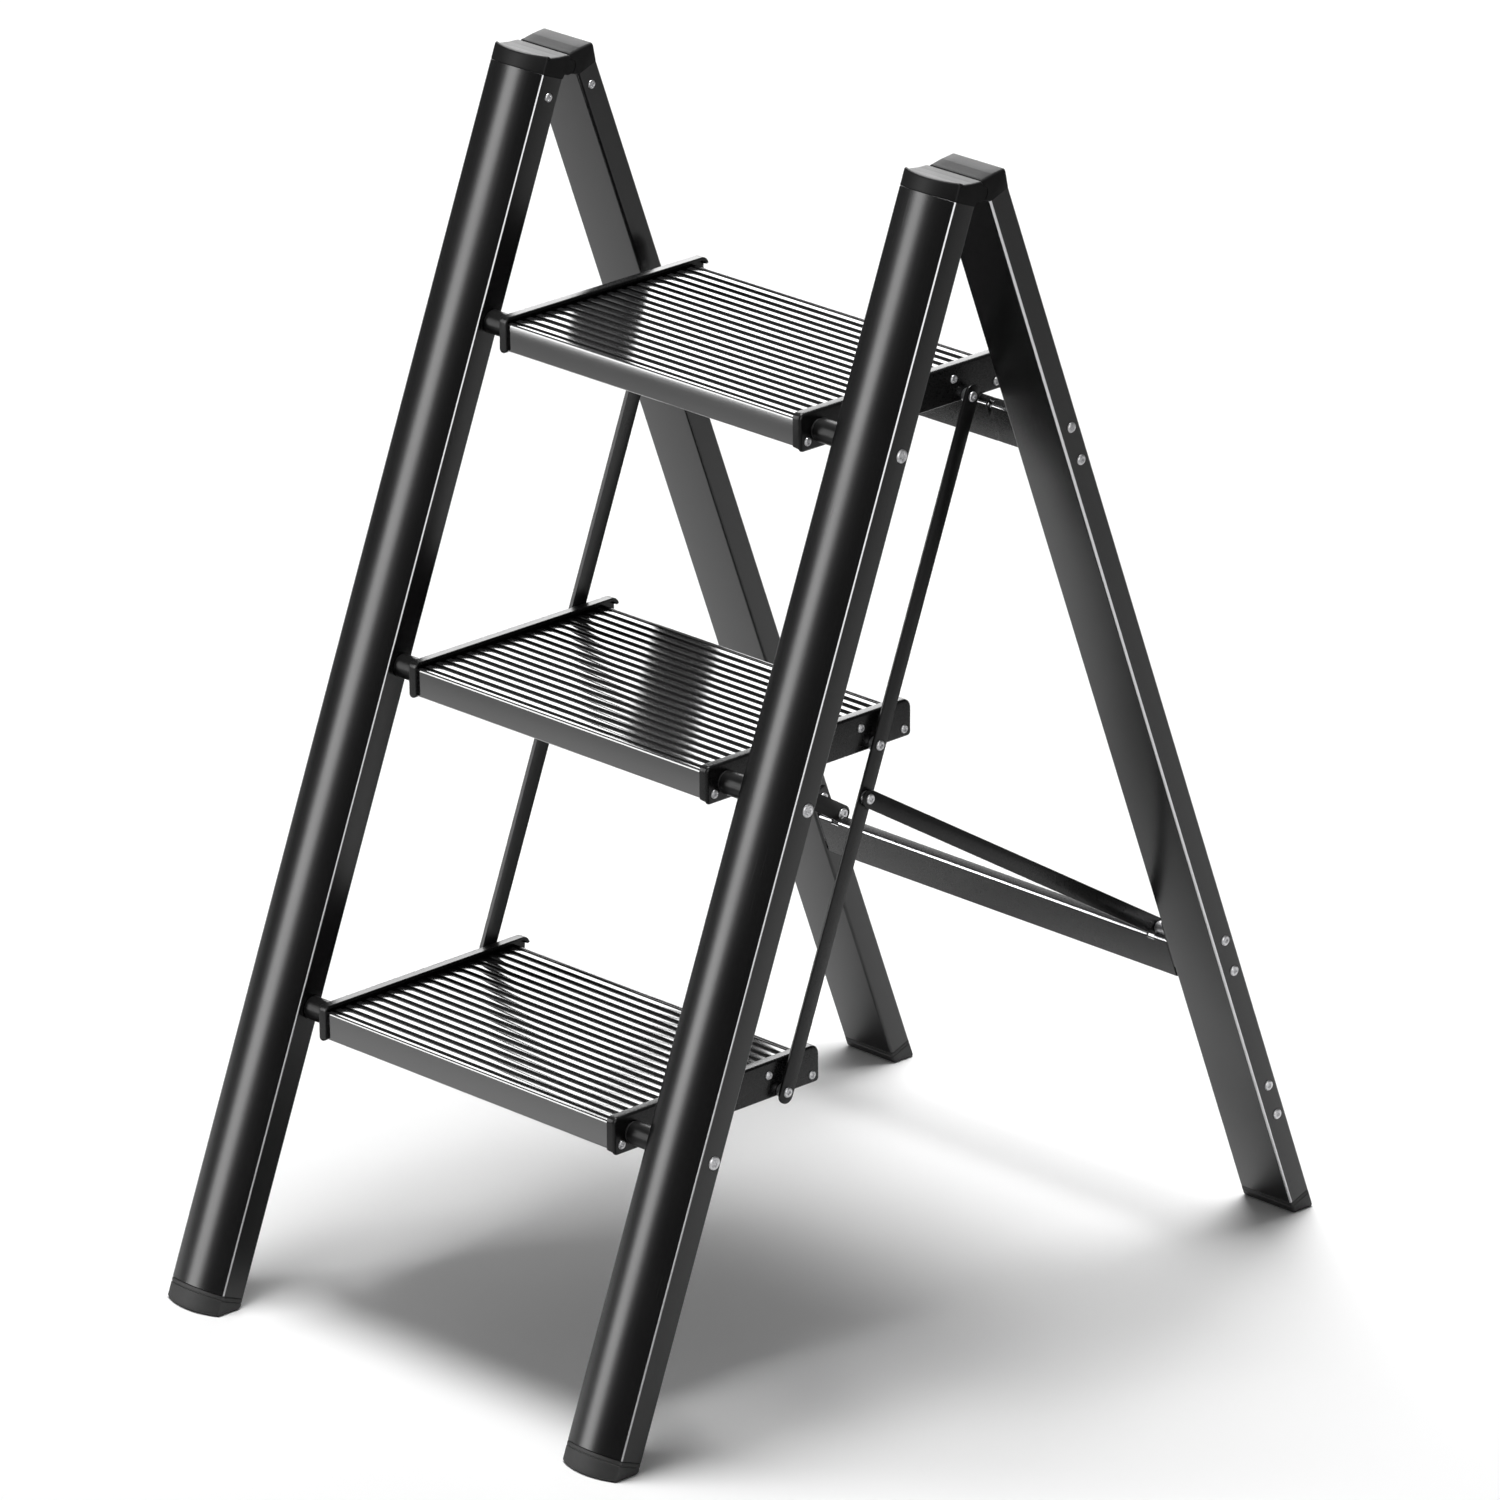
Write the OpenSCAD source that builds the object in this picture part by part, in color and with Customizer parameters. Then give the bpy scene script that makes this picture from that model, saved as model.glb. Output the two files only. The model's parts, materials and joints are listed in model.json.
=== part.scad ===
// Folding three-step ladder with a curved front frame, a rear strut frame
// and three steps that fold flat between the two frames.
// Millimetres, +Z up, +X to the user's right, +Y to the rear.
// Origin: on the floor, in the middle of the open ladder's footprint.
// The ladder is drawn open, which is the rest position of every joint.

/* [Front frame] */
// Distance between the outer side faces of the two front stiles
frame_w = 442.6; // [430:0.2:456]
// Width of a front stile, seen from the front
stile_w = 52; // [48:0.5:56]
// Depth of a front stile's flat side face
stile_d = 19.05; // [18:0.05:22]
// How far the front of a stile bulges forward
stile_bulge = 6; // [4:0.5:8]
// Wall thickness of the stile and leg tubes
tube_wall = 1.5; // [1.2:0.1:2]
// Lean of the front stiles from the vertical, degrees
front_lean = 21.31; // [20.5:0.01:22]
// Height of the lowest step pivot above the floor
first_pivot_h = 200.54; // [190:0.01:215]
// Distance between two steps, measured along a stile
step_spacing = 240; // [236:1:244]

/* [Rear frame] */
// Lean of the rear legs from the vertical, degrees
rear_lean = 20.36; // [20:0.01:21]
// Width of a rear leg, seen from behind
leg_w = 48.7; // [46:0.1:49]
// Depth of a rear leg
leg_d = 18.8; // [18:0.1:20]
// Height of the cross brace channels
brace_h = 27; // [24:1:30]

/* [Steps] */
// Width of a tread between its end brackets
tread_w = 274; // [270:1:276]
// Depth of a tread, front to back
tread_d = 176.6; // [172:0.2:178]
// Height of a tread
tread_h = 20; // [18:0.5:22]
// Distance from one tread rib to the next
rib_pitch = 9.34; // [8.5:0.01:10]
// Width of a tread rib
rib_w = 5.4; // [4:0.1:6]
// Depth of the grooves between the ribs
groove_depth = 1.5; // [1:0.1:1.8]

/* [Linkage] */
// Width of the flat link and fold bars
bar_w = 12.5; // [11:0.5:13]
// Thickness of the flat link and fold bars
bar_t = 2; // [1.5:0.1:2.2]
// Link pivot on a step, behind the step's own pivot
link_y = 136.3; // [135.5:0.1:137]
// Link pivot on a step, above the step's own pivot
link_z = -9.4; // [-9.8:0.1:-8.8]
// Fold bar pivot on the link, above the lowest link pivot
fold_k = 204; // [200:1:208]
// Radius of the link and fold bar pivots
pivot_r = 2.5; // [2.2:0.1:2.8]
// Radial running clearance of every pivot
run_c = 0.06; // [0.02:0.01:0.09]

/* [Fasteners] */
// Radius of the step pivot bolts
bolt_r = 3; // [2.8:0.1:3.2]
// Radius of the sleeves between step brackets and stiles
sleeve_r = 8.25; // [7.5:0.25:8.5]
// Radius of the frame rivets' heads
rivet_head_r = 3.7; // [3:0.1:4]

/* [Hidden] */
A = front_lean;
B = rear_lean;
h0 = first_pivot_h;
S = step_spacing;
n_flat = -12.3;                    // front edge of a stile's flat side
n_back = n_flat + stile_d;         // rear face of a stile
xo = frame_w/2;                    // outer side face of a stile
xi = xo - stile_w;                 // inner side face of a stile
xm = (xo + xi)/2;
lo = xo - 1.7;                     // outer side face of a rear leg
li = lo - leg_w;                   // inner side face of a rear leg
s_top = 649.3;                     // top end of a stile, along the pivot line
s_hinge = 658.05;                  // frame hinge, along the pivot line
n_hinge = 11.2;                    // frame hinge, behind the pivot line
leg_n0 = 5.15;                     // leg's front face behind the hinge axis
leg_top = -9.7;                    // top end of a leg, below the hinge axis
leg_bot = -856.6;                  // bottom end of a leg, below the hinge axis
hy = s_hinge*sin(A) + n_hinge*cos(A);
hz = s_hinge*cos(A) - n_hinge*sin(A);
// footprint limits and middle
y_front = -h0*tan(A) + (n_flat - stile_bulge)/cos(A);
y_rear = hy + (h0 + hz)*tan(B) + (leg_n0 + leg_d)/cos(B);
y_mid = (y_front + y_rear)/2;
// step bracket planes
xt = tread_w/2;
bx0 = xt + 5.3;                    // inner face of a bracket's web
bx1 = xt + 7.5;                    // outer face of a bracket's web
by0 = -17.4; by1 = 172; bz0 = -13; bz1 = 13.8;
ty0 = -15.2; ty1 = ty0 + tread_d; tz1 = 9.4; tz0 = tz1 - tread_h;
// bar planes
lx0 = bx1 + 4; lx1 = lx0 + bar_t;  // link bars
fx0 = lx1 + 2.1; fx1 = fx0 + bar_t; // fold bars
// rear frame braces: distance below the hinge of each rivet pair
br_up = [199.6, 226.1];
br_lo = [632.6, 658.8];
ft_lo = [759.3, 784.6];
rv_n = leg_n0 + 10.8;
// fold bar pivot on the rear frame
e_n = 14.9; e_r = 641.2;
e_y = hy + e_n*cos(B) + e_r*sin(B);
e_z = hz + e_n*sin(B) - e_r*cos(B);
d_y = link_y + fold_k*sin(A);
d_z = link_z + fold_k*cos(A);
fold_len = sqrt(pow(e_y - d_y, 2) + pow(e_z - d_z, 2));
fold_ang = atan2(e_z - d_z, e_y - d_y);
kr = 5.8;                          // hinge knuckle radius
pin_r = 2.4;                       // hinge pin radius

// ---------- placing ----------
// side-view frame with its origin at the lowest step pivot
module placed() translate([0, -y_mid, h0]) children();
// local x, rearward normal, distance up the stile
module on_stile() placed() rotate([-A, 0, 0]) children();
// local x, rearward normal, distance up the leg from the hinge axis
module on_leg() placed() translate([0, hy, hz]) rotate([B, 0, 0]) children();
// local axes of step i, counted from the lowest
module on_step(i) placed() translate([0, i*S*sin(A), i*S*cos(A)]) children();
module sided(s) { if (s > 0) children(); else mirror([1, 0, 0]) children(); }
module both() { sided(1) children(); sided(-1) children(); }

// ---------- basic shapes ----------
// prism along X from a (y, z) outline
module xprism(x0, x1, pts) translate([x0, 0, 0]) rotate([90, 0, 90])
  linear_extrude(height = x1 - x0) polygon(pts);
// round bar along X
module xrod(x0, x1, r, y = 0, z = 0) translate([x0, y, z]) rotate([0, 90, 0])
  cylinder(h = x1 - x0, r = r, $fn = 48);
// points of an arc
function arc(cx, cy, r, a0, a1, n) =
  [for (i = [0:n]) [cx + r*cos(a0 + (a1 - a0)*i/n), cy + r*sin(a0 + (a1 - a0)*i/n)]];
// rounded rectangle outline
function rrect(x0, x1, y0, y1, r) = concat(
  arc(x0 + r, y0 + r, r, 180, 270, 5), arc(x1 - r, y0 + r, r, 270, 360, 5),
  arc(x1 - r, y1 - r, r, 0, 90, 5), arc(x0 + r, y1 - r, r, 90, 180, 5));
// stile outline: flat back and sides, convex front; t shrinks it by a wall
s_R = (pow(stile_w/2, 2) + pow(stile_bulge, 2))/(2*stile_bulge);
s_cy = n_flat - stile_bulge + s_R;
function stile_pts(t, back, rc) =
  let(a = stile_w/2 - t, R = s_R - t,
      yc = s_cy - sqrt(pow(R - rc, 2) - pow(a - rc, 2)),
      th = atan2(yc - s_cy, a - rc))
  concat(arc(0, s_cy, R, -180 - th, th, 26), arc(a - rc, yc, rc, th, 0, 5),
         arc(a - 1.2, back - 1.2, 1.2, 0, 90, 4), arc(-(a - 1.2), back - 1.2, 1.2, 90, 180, 4),
         arc(-(a - rc), yc, rc, -180, -180 - th, 5));

// ---------- front frame ----------
module stile_body() on_stile() difference() {
  translate([xm, 0, -260]) linear_extrude(height = 260 + s_top) polygon(stile_pts(0, n_back, 2));
  translate([xm, 0, -261]) linear_extrude(height = 262 + s_top)
    polygon(stile_pts(tube_wall, n_back - tube_wall, 1));
  translate([xi - 20, -60, -300]) cube([stile_w + 40, 120, 300 - 205.16]);
  for (i = [0:2]) translate([0, 0, i*S]) xrod(xi - 1, xo + 1, bolt_r + 0.1);
  translate([0, -2.2, 635.1]) xrod(xi - 1, xi + 4, 2.1);
}
module front_stile(s) color("#17181a") sided(s) stile_body();

// side outline of the front cap, above the stile's end
function front_cap_side() = [
  [218.0, 612.2], [219.2, 609.6], [242.24, 602.5], [hy - 4.5, hz - 3.2], [hy - 0.2, hz], [hy - 0.2, hz + 8.9],
  [241, hz + 9.2], [233, hz + 10.2], [226.5, hz + 11.6], [222, hz + 11.9], [214, hz + 11.9]];
module front_cap_body() {
  difference() {
    union() {
      intersection() {
        on_stile() translate([xm, 0, s_top - 8]) linear_extrude(height = 60)
          polygon(stile_pts(0, n_back + 8, 2));
        placed() xprism(xi - 5, xo + 5, front_cap_side());
        on_stile() translate([xi - 5, -60, s_top]) cube([stile_w + 10, 120, 60]);
      }
      placed() xrod(xi + 15.1, xo - 15.1, kr, hy, hz);
      // plug inside the stile
      on_stile() translate([xm, 0, s_top - 34]) linear_extrude(height = 34.5)
        polygon(stile_pts(tube_wall + 0.1, n_back - tube_wall - 0.1, 1));
    }
    // room for the rear cap's knuckles
    placed() xrod(xi - 1, xi + 14.7, kr + 0.4, hy, hz);
    placed() xrod(xo - 14.7, xo + 1, kr + 0.4, hy, hz);
    placed() xrod(xi - 1, xo + 1, pin_r, hy, hz);
    // hollow of the plug
    on_stile() translate([xm - stile_w/2 + 5, n_flat + 1.5, s_top - 40])
      cube([stile_w - 10, stile_d - 6, 33]);
    on_stile() translate([0, -2.2, 635.1]) xrod(xi - 1, xi + 8, 1.95);
  }
}
module front_cap(s) color("#26272a") sided(s) front_cap_body();

module front_foot_body() intersection() {
  union() {
    on_stile() translate([xm, 0, -260]) linear_extrude(height = 260 - 205.16)
      polygon(stile_pts(0, n_back, 2));
    on_stile() translate([xm, 0, -206]) linear_extrude(height = 26)
      difference() {
        polygon(stile_pts(tube_wall + 0.1, n_back - tube_wall - 0.1, 1));
        polygon(stile_pts(tube_wall + 3, n_back - tube_wall - 3, 1));
      }
  }
  translate([0, -y_mid - 300, 0]) cube([400, 600, 200]);
}
module front_foot(s) color("#1d1e20") sided(s) front_foot_body();

module hinge_pins() color("#8d9094") both() placed() {
  xrod(lo - leg_w + 1.2, lo - 1.2, pin_r, hy, hz);
}
module step_pivot_bolts() color("#9a9da1") both() for (i = [0:2]) on_step(i) {
  xrod(bx0 - 5.6, xo, bolt_r);
  xrod(xo, xo + 1.3, 4.8);
}
module step_pivot_sleeves() color("#1a1b1d") both() for (i = [0:2]) on_step(i) difference() {
  xrod(bx1 + 1.3, xi, sleeve_r);
  xrod(bx1, xi + 1, bolt_r + 0.15);
}
module step_pivot_nuts() color("#8d9094") both() for (i = [0:2]) on_step(i) difference() {
  translate([bx0 - 4.9, 0, 0]) rotate([0, 90, 0]) rotate([0, 0, 30]) cylinder(h = 4.6, r = 5.4, $fn = 6);
  xrod(bx0 - 6, bx0 + 1, bolt_r);
}
module stile_rivets() color("#9a9da1") both() on_stile() translate([0, -2.2, 635.1]) {
  xrod(xi - 1, xi, 3.1);
  xrod(xi - 0.5, xi + 6, 1.95);
}

// ---------- rear frame ----------
leg_y0 = leg_n0; leg_y1 = leg_n0 + leg_d;
module leg_body() on_leg() difference() {
  translate([0, 0, leg_bot]) linear_extrude(height = leg_top - leg_bot)
    polygon(rrect(li, lo, leg_y0, leg_y1, 2.2));
  translate([0, 0, leg_bot - 1]) linear_extrude(height = leg_top - leg_bot + 2)
    polygon(rrect(li + tube_wall, lo - tube_wall, leg_y0 + tube_wall, leg_y1 - tube_wall, 1));
  for (r = concat(br_up, br_lo)) translate([0, rv_n, -r]) xrod(li - 1, lo + 1, 2.5);
  for (r = ft_lo) translate([0, rv_n, -r]) xrod(lo - 3, lo + 1, 2.5);
  translate([0, leg_n0 + 8.3, -22.9]) xrod(li - 1, li + 4, 2.1);
}
module rear_leg(s) color("#17181a") sided(s) leg_body();

// outline of a plug that fits inside the leg tube
module leg_plug() polygon(rrect(li + tube_wall + 0.1, lo - tube_wall - 0.1,
  leg_y0 + tube_wall + 0.1, leg_y1 - tube_wall - 0.1, 1.3));
function rear_cap_side() = [
  [hy + 0.2, hz], [hy + 2.45, hz - 5.2],
  [hy + leg_n0*cos(B) + (-leg_top)*sin(B), hz + leg_n0*sin(B) + leg_top*cos(B)],
  [hy + leg_y1*cos(B) + (-leg_top)*sin(B), hz + leg_y1*sin(B) + leg_top*cos(B)],
  [hy + 23.6, hz + 10], [hy + 22.6, hz + 12.2],
  [hy + 11, hz + 10.9], [hy + 4, hz + 9.5], [hy + 0.2, hz + 8.9]];
module rear_cap_body() {
  difference() {
    union() {
      placed() xprism(li, lo, rear_cap_side());
      placed() xrod(li, lo, kr, hy, hz);
      on_leg() translate([0, 0, leg_top - 34]) linear_extrude(height = 35) leg_plug();
    }
    placed() xrod(xi + 14.7, xo - 14.7, kr + 0.4, hy, hz);
    placed() xrod(li - 1, lo + 1, pin_r + run_c, hy, hz);
    on_leg() translate([li + 5, leg_y0 + 4, leg_top - 40]) cube([leg_w - 10, leg_d - 8, 33]);
    on_leg() translate([0, leg_n0 + 8.3, -22.9]) xrod(li - 1, li + 8, 1.95);
  }
}
module rear_cap(s) color("#26272a") sided(s) rear_cap_body();

module rear_foot_body() intersection() {
  difference() {
    union() {
      on_leg() translate([0, 0, leg_bot - 40]) linear_extrude(height = 40)
        polygon(rrect(li, lo, leg_y0, leg_y1, 2.2));
      on_leg() translate([0, 0, leg_bot - 1]) linear_extrude(height = 113) leg_plug();
    }
    on_leg() translate([li + 5, leg_y0 + 4, leg_bot + 3]) cube([leg_w - 12, leg_d - 8, 120]);
    for (r = ft_lo) on_leg() translate([0, rv_n, -r]) xrod(lo - 12, lo + 1, 2.4);
  }
  translate([0, -y_mid, 0]) cube([400, 1000, 200]);
}
module rear_foot(s) color("#1d1e20") sided(s) rear_foot_body();

// cross brace: a steel channel with an end tab on each leg
// f is the front of the channel behind the leg's front face, t its top below the hinge
module brace(f, t, tabs, tab_r) on_leg() {
  pf = leg_n0 + f;
  difference() {
    union() {
      translate([0, 0, 0]) xprism(-(li - 1.6), li - 1.6, concat(
        arc(pf + 2.6, -t - 2.6, 2.6, 90, 180, 5),
        [[pf, -t - brace_h - 4.6], [pf + 5, -t - brace_h - 6],
         [pf + 5, -t - brace_h - 4.4], [pf + 1.8, -t - brace_h - 3.2]],
        arc(pf + 2.8, -t - 2.8, 1.0, 180, 90, 3),
        [[pf + 8, -t - 1.8], [pf + 8, -t]]));
      both() for (q = [0]) xprism(li - 1.6, li, rrect(pf, leg_n0 + 16.6, -tab_r[1], -tab_r[0], 3));
    }
    children();
  }
}
module upper_cross_brace() color("#141517") difference() {
  brace(4, 195.6, 0, [191, 233]);
  both() for (r = br_up) on_leg() translate([0, rv_n, -r]) {
    xrod(li - 3, li + 1, 2.4);
    xrod(li - 3.2, li - 1.6, rivet_head_r + 0.1);
  }
  // notches the link bars pass through while folding
  both() on_leg() xprism(lx0 - 1.2, lx1 + 1.2, [[0, -188], [16, -188], [13, -196], [9.6, -208], [0, -208]]);
}
module lower_cross_brace() color("#1c1d20") difference() {
  brace(1, 642.2, 0, [625, 667]);
  both() for (r = br_lo) on_leg() translate([0, rv_n, -r]) xrod(li - 3, li + 1, 2.4);
  // notches for the fold bars
  both() on_leg() xprism(fx0 - 2.2, fx1 + 2.2, rrect(leg_n0 - 3, leg_n0 + 22, -645, -620, 1.5));
  // holes and room for the fold bar pins
  both() on_leg() translate([0, e_n, -e_r]) { xrod(li - 4, li + 1, pivot_r); xrod(fx1, li - 1.6, 4.9); }
}
module rear_leg_rivets() color("#9a9da1") both() on_leg() {
  for (r = concat(br_up, br_lo)) translate([0, rv_n, -r]) {
    xrod(li - 1.6, lo, 2.4);
    xrod(lo, lo + 1.3, rivet_head_r);
    xrod(li - 2.8, li - 1.6, rivet_head_r - 0.2);
  }
  for (r = ft_lo) translate([0, rv_n, -r]) {
    xrod(lo - 6, lo, 2.4);
    xrod(lo, lo + 1.3, rivet_head_r);
  }
  translate([0, leg_n0 + 8.3, -22.9]) { xrod(li - 1, li, 3.1); xrod(li - 0.5, li + 6, 1.95); }
}
module fold_bar_pins() color("#7c7f84") both() on_leg() translate([0, e_n, -e_r]) {
  xrod(fx0 - 1.4, fx0 - 0.2, 4.2);
  xrod(fx0 - 1, li, pivot_r);
  xrod(fx1 + 0.3, li - 1.6, 4.6);
}

// ---------- steps ----------
function tread_top() = [for (k = [-1:1:18])
  let(c = -5.8 + k*rib_pitch, a = c - rib_w/2, b = c + rib_w/2)
  if (b > ty0 + 4 && a < ty1 - 3)
    each (a < ty0 + 3 ? [[b, tz1], [b, tz1 - groove_depth]]
       : b > ty1 - 1 ? [[a, tz1 - groove_depth], [a, tz1]]
       : [[a, tz1 - groove_depth], [a + 0.5, tz1], [b - 0.5, tz1], [b, tz1 - groove_depth]])];
plate_z = 6.1;
module tread_profile() polygon(concat([[ty0, tz1 - 2]], arc(ty0 + 2, tz1 - 2, 2, 180, 90, 4),
  [[ty0 + 4.4, tz1], [ty0 + 5, tz1 - groove_depth]],
  tread_top(),
  [[ty1 - 3.6, tz1 - groove_depth], [ty1 - 3, tz1]],
  arc(ty1 - 2, tz1 - 2, 2, 90, 0, 4),
  [[ty1, tz0], [ty1 - 8, tz0], [ty1 - 8, tz0 + 1.8], [ty1 - 2, tz0 + 1.8], [ty1 - 2, plate_z],
   [101.8, plate_z], [101.8, tz0], [100, tz0], [100, plate_z],
   [43.8, plate_z], [43.8, tz0], [42, tz0], [42, plate_z],
   [ty0 + 2, plate_z], [ty0 + 2, tz0 + 1.8], [ty0 + 8, tz0 + 1.8], [ty0 + 8, tz0],
   [ty0 + 1, tz0], [ty0, tz0 + 1]]));
// screw bosses run along the underside of a tread
screw_at = [[-10.6, -6.2], [124.7, 4.2], [ty1 + 3.6, -6.9]];
module tread(i) color("#1b1c1e") on_step(i) difference() {
  union() {
    translate([-bx0, 0, 0]) rotate([90, 0, 90]) linear_extrude(height = 2*bx0) tread_profile();
    for (q = screw_at) xrod(-bx0 + 0.3, bx0 - 0.3, 3.3, q[0], q[1]);
    translate([-bx0 + 0.3, ty1 - 1, -8.2]) cube([2*bx0 - 0.6, 3, 2.6]);
  }
  for (q = screw_at) xrod(-bx0 - 1, bx0 + 1, 1.62, q[0], q[1]);
}

bracket_out = concat(arc(by0 + 4, bz0 + 4, 4, 180, 270, 5), arc(by1 - 3, bz0 + 3, 3, 270, 360, 5),
  arc(by1 - 7, bz1 - 7, 7, 0, 90, 6), arc(by0 + 4, bz1 - 4, 4, 90, 180, 5));
module bracket_body(i) on_step(i) difference() {
  union() {
    xprism(bx0, bx1, bracket_out);
    // top flange over the tread's end
    translate([xt, by0 + 4, bz1 - 2.2]) cube([bx0 - xt + 1, by1 - 7 - by0 - 4, 2.2]);
    // front flange before the tread's end
    translate([xt, by0, bz0 + 4]) cube([bx0 - xt + 1, 2.2, bz1 - bz0 - 8]);
    // bend between the two flanges
    intersection() {
      xprism(xt, bx1, bracket_out);
      difference() {
        translate([xt, by0, bz1 - 4]) cube([bx1 - xt, 4, 4]);
        xrod(xt - 1, bx1 + 1, 1.8, by0 + 4, bz1 - 4);
      }
    }
  }
  xrod(bx0 - 1, bx1 + 1, 4.6);
  xrod(bx0 - 1, bx1 + 1, pivot_r, link_y, link_z);
  for (q = screw_at) xrod(bx0 - 1, bx1 + 1, 1.7, q[0], q[1]);
}
module bracket(i, s) color("#131416") sided(s) bracket_body(i);
module bracket_screws(i) color("#9a9da1") both() on_step(i)
  for (q = screw_at) {
    xrod(bx0 - 9, bx1, 1.6, q[0], q[1]);
    xrod(bx1, bx1 + 1.2, 3.0, q[0], q[1]);
  }
module link_pivots(i) color("#9a9da1") both() on_step(i) {
  xrod(bx0 - 1.4, bx0, 3.6, link_y, link_z);
  xrod(bx0 - 1, lx1 + 1, pivot_r, link_y, link_z);
  xrod(bx1, lx0 - 0.15, 5, link_y, link_z);
  xrod(lx1 + 0.15, lx1 + 1.7, 3.6, link_y, link_z);
}
module pivot_bushes(i) color("#2a2b2e") both() on_step(i) difference() {
  union() { xrod(bx0, bx1, 4.6); xrod(bx1, bx1 + 1, 7.4); }
  xrod(bx0 - 1, bx1 + 2, bolt_r + run_c);
}

// ---------- linkage ----------
module flat_bar(x0, x1, len, over, holes) difference() {
  union() {
    translate([x0, 0, 0]) rotate([0, 90, 0]) cylinder(h = x1 - x0, r = bar_w/2, $fn = 48);
    translate([x0, 0, len]) rotate([0, 90, 0]) cylinder(h = x1 - x0, r = bar_w/2, $fn = 48);
    translate([x0, -bar_w/2, 0]) cube([x1 - x0, bar_w, len]);
  }
  for (k = holes) xrod(x0 - 1, x1 + 1, k[1], 0, k[0]);
}
module link_body() on_step(0) translate([0, link_y, link_z]) rotate([-A, 0, 0])
  translate([0, 0, -2]) flat_bar(lx0, lx1, 2*S + 4, 2,
    [[2, pivot_r + run_c], [2 + S, pivot_r + run_c], [2 + 2*S, pivot_r + run_c]]);
module link_bar(s) color("#141517") sided(s) link_body();
// washer that keeps the fold bar clear of the link
module link_washer(s) color("#6f7276") sided(s) on_step(0) xrod(lx1, fx0 - 0.2, 5, d_y, d_z);
module fold_bar_body() on_step(0) translate([0, e_y, e_z]) rotate([fold_ang - 270, 0, 0])
  flat_bar(fx0, fx1, fold_len, 0, [[0, pivot_r + run_c], [fold_len, 2.4]]);
module fold_bar(s) color("#141517") sided(s) fold_bar_body();
module fold_bar_rivet(s) color("#9a9da1") sided(s) on_step(0) {
  xrod(fx0, fx1 + 0.5, 2.4, d_y, d_z);
  xrod(fx1, fx1 + 1.4, 3.6, d_y, d_z);
}

front_stile(-1);  // front_stile_left
front_stile(1);  // front_stile_right
front_cap(-1);  // front_cap_left
front_cap(1);  // front_cap_right
front_foot(-1);  // front_foot_left
front_foot(1);  // front_foot_right
hinge_pins();
step_pivot_bolts();
step_pivot_sleeves();
step_pivot_nuts();
stile_rivets();
rear_leg(-1);  // rear_leg_left
rear_leg(1);  // rear_leg_right
rear_cap(-1);  // rear_cap_left
rear_cap(1);  // rear_cap_right
rear_foot(-1);  // rear_foot_left
rear_foot(1);  // rear_foot_right
upper_cross_brace();
lower_cross_brace();
rear_leg_rivets();
fold_bar_pins();
tread(2);  // top_tread
bracket(2, -1);  // top_bracket_left
bracket(2, 1);  // top_bracket_right
bracket_screws(2);  // top_bracket_screws
link_pivots(2);  // top_link_pivots
pivot_bushes(2);  // top_pivot_bushes
tread(1);  // middle_tread
bracket(1, -1);  // middle_bracket_left
bracket(1, 1);  // middle_bracket_right
bracket_screws(1);  // middle_bracket_screws
link_pivots(1);  // middle_link_pivots
pivot_bushes(1);  // middle_pivot_bushes
tread(0);  // bottom_tread
bracket(0, -1);  // bottom_bracket_left
bracket(0, 1);  // bottom_bracket_right
bracket_screws(0);  // bottom_bracket_screws
link_pivots(0);  // bottom_link_pivots
pivot_bushes(0);  // bottom_pivot_bushes
link_bar(-1);  // link_bar_left
link_bar(1);  // link_bar_right
link_washer(-1);  // link_washer_left
link_washer(1);  // link_washer_right
fold_bar(-1);  // fold_bar_left
fold_bar(1);  // fold_bar_right
fold_bar_rivet(-1);  // fold_bar_rivet_left
fold_bar_rivet(1);  // fold_bar_rivet_right
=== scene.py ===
# Looks for the folding step ladder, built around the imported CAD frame.
import json
import math
import bpy
from mathutils import Matrix, Vector

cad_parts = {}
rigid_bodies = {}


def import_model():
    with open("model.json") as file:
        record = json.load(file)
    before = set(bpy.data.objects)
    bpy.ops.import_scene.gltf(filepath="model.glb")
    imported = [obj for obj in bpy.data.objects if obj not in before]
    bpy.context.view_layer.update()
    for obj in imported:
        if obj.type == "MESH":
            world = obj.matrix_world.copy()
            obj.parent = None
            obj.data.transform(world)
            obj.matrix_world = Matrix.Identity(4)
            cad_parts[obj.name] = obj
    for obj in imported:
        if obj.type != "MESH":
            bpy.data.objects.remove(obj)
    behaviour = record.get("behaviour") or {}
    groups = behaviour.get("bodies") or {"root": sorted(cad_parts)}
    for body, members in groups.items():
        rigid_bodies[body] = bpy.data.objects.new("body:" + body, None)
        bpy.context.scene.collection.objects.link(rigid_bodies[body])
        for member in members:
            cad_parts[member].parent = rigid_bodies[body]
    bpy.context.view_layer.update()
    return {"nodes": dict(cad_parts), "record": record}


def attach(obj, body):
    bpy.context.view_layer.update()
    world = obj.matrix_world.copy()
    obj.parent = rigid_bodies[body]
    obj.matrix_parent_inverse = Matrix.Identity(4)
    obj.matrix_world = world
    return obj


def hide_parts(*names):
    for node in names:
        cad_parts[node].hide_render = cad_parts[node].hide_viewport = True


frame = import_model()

# ------------------------------------------------------------------ design numbers, in mm, side view (y, z)
A = math.radians(21.31)
B = math.radians(20.36)
SA, CA = math.sin(A), math.cos(A)
SB, CB = math.sin(B), math.cos(B)
H0 = 200.54
STEP = 240.0
N_FLAT, BULGE, STILE_W, STILE_D = -12.3, 6.0, 52.0, 19.05
N_BACK = N_FLAT + STILE_D
XO = 221.3
XI = XO - STILE_W
XM = (XO + XI) / 2
LO = XO - 1.7
LW, LD = 48.7, 18.8
LI = LO - LW
S_BOT, S_TOP = -205.16, 649.3
HY = 658.05 * SA + 11.2 * CA
HZ = 658.05 * CA - 11.2 * SA
LEG_N0, LEG_TOP, LEG_BOT = 5.15, -9.7, -856.6
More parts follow.
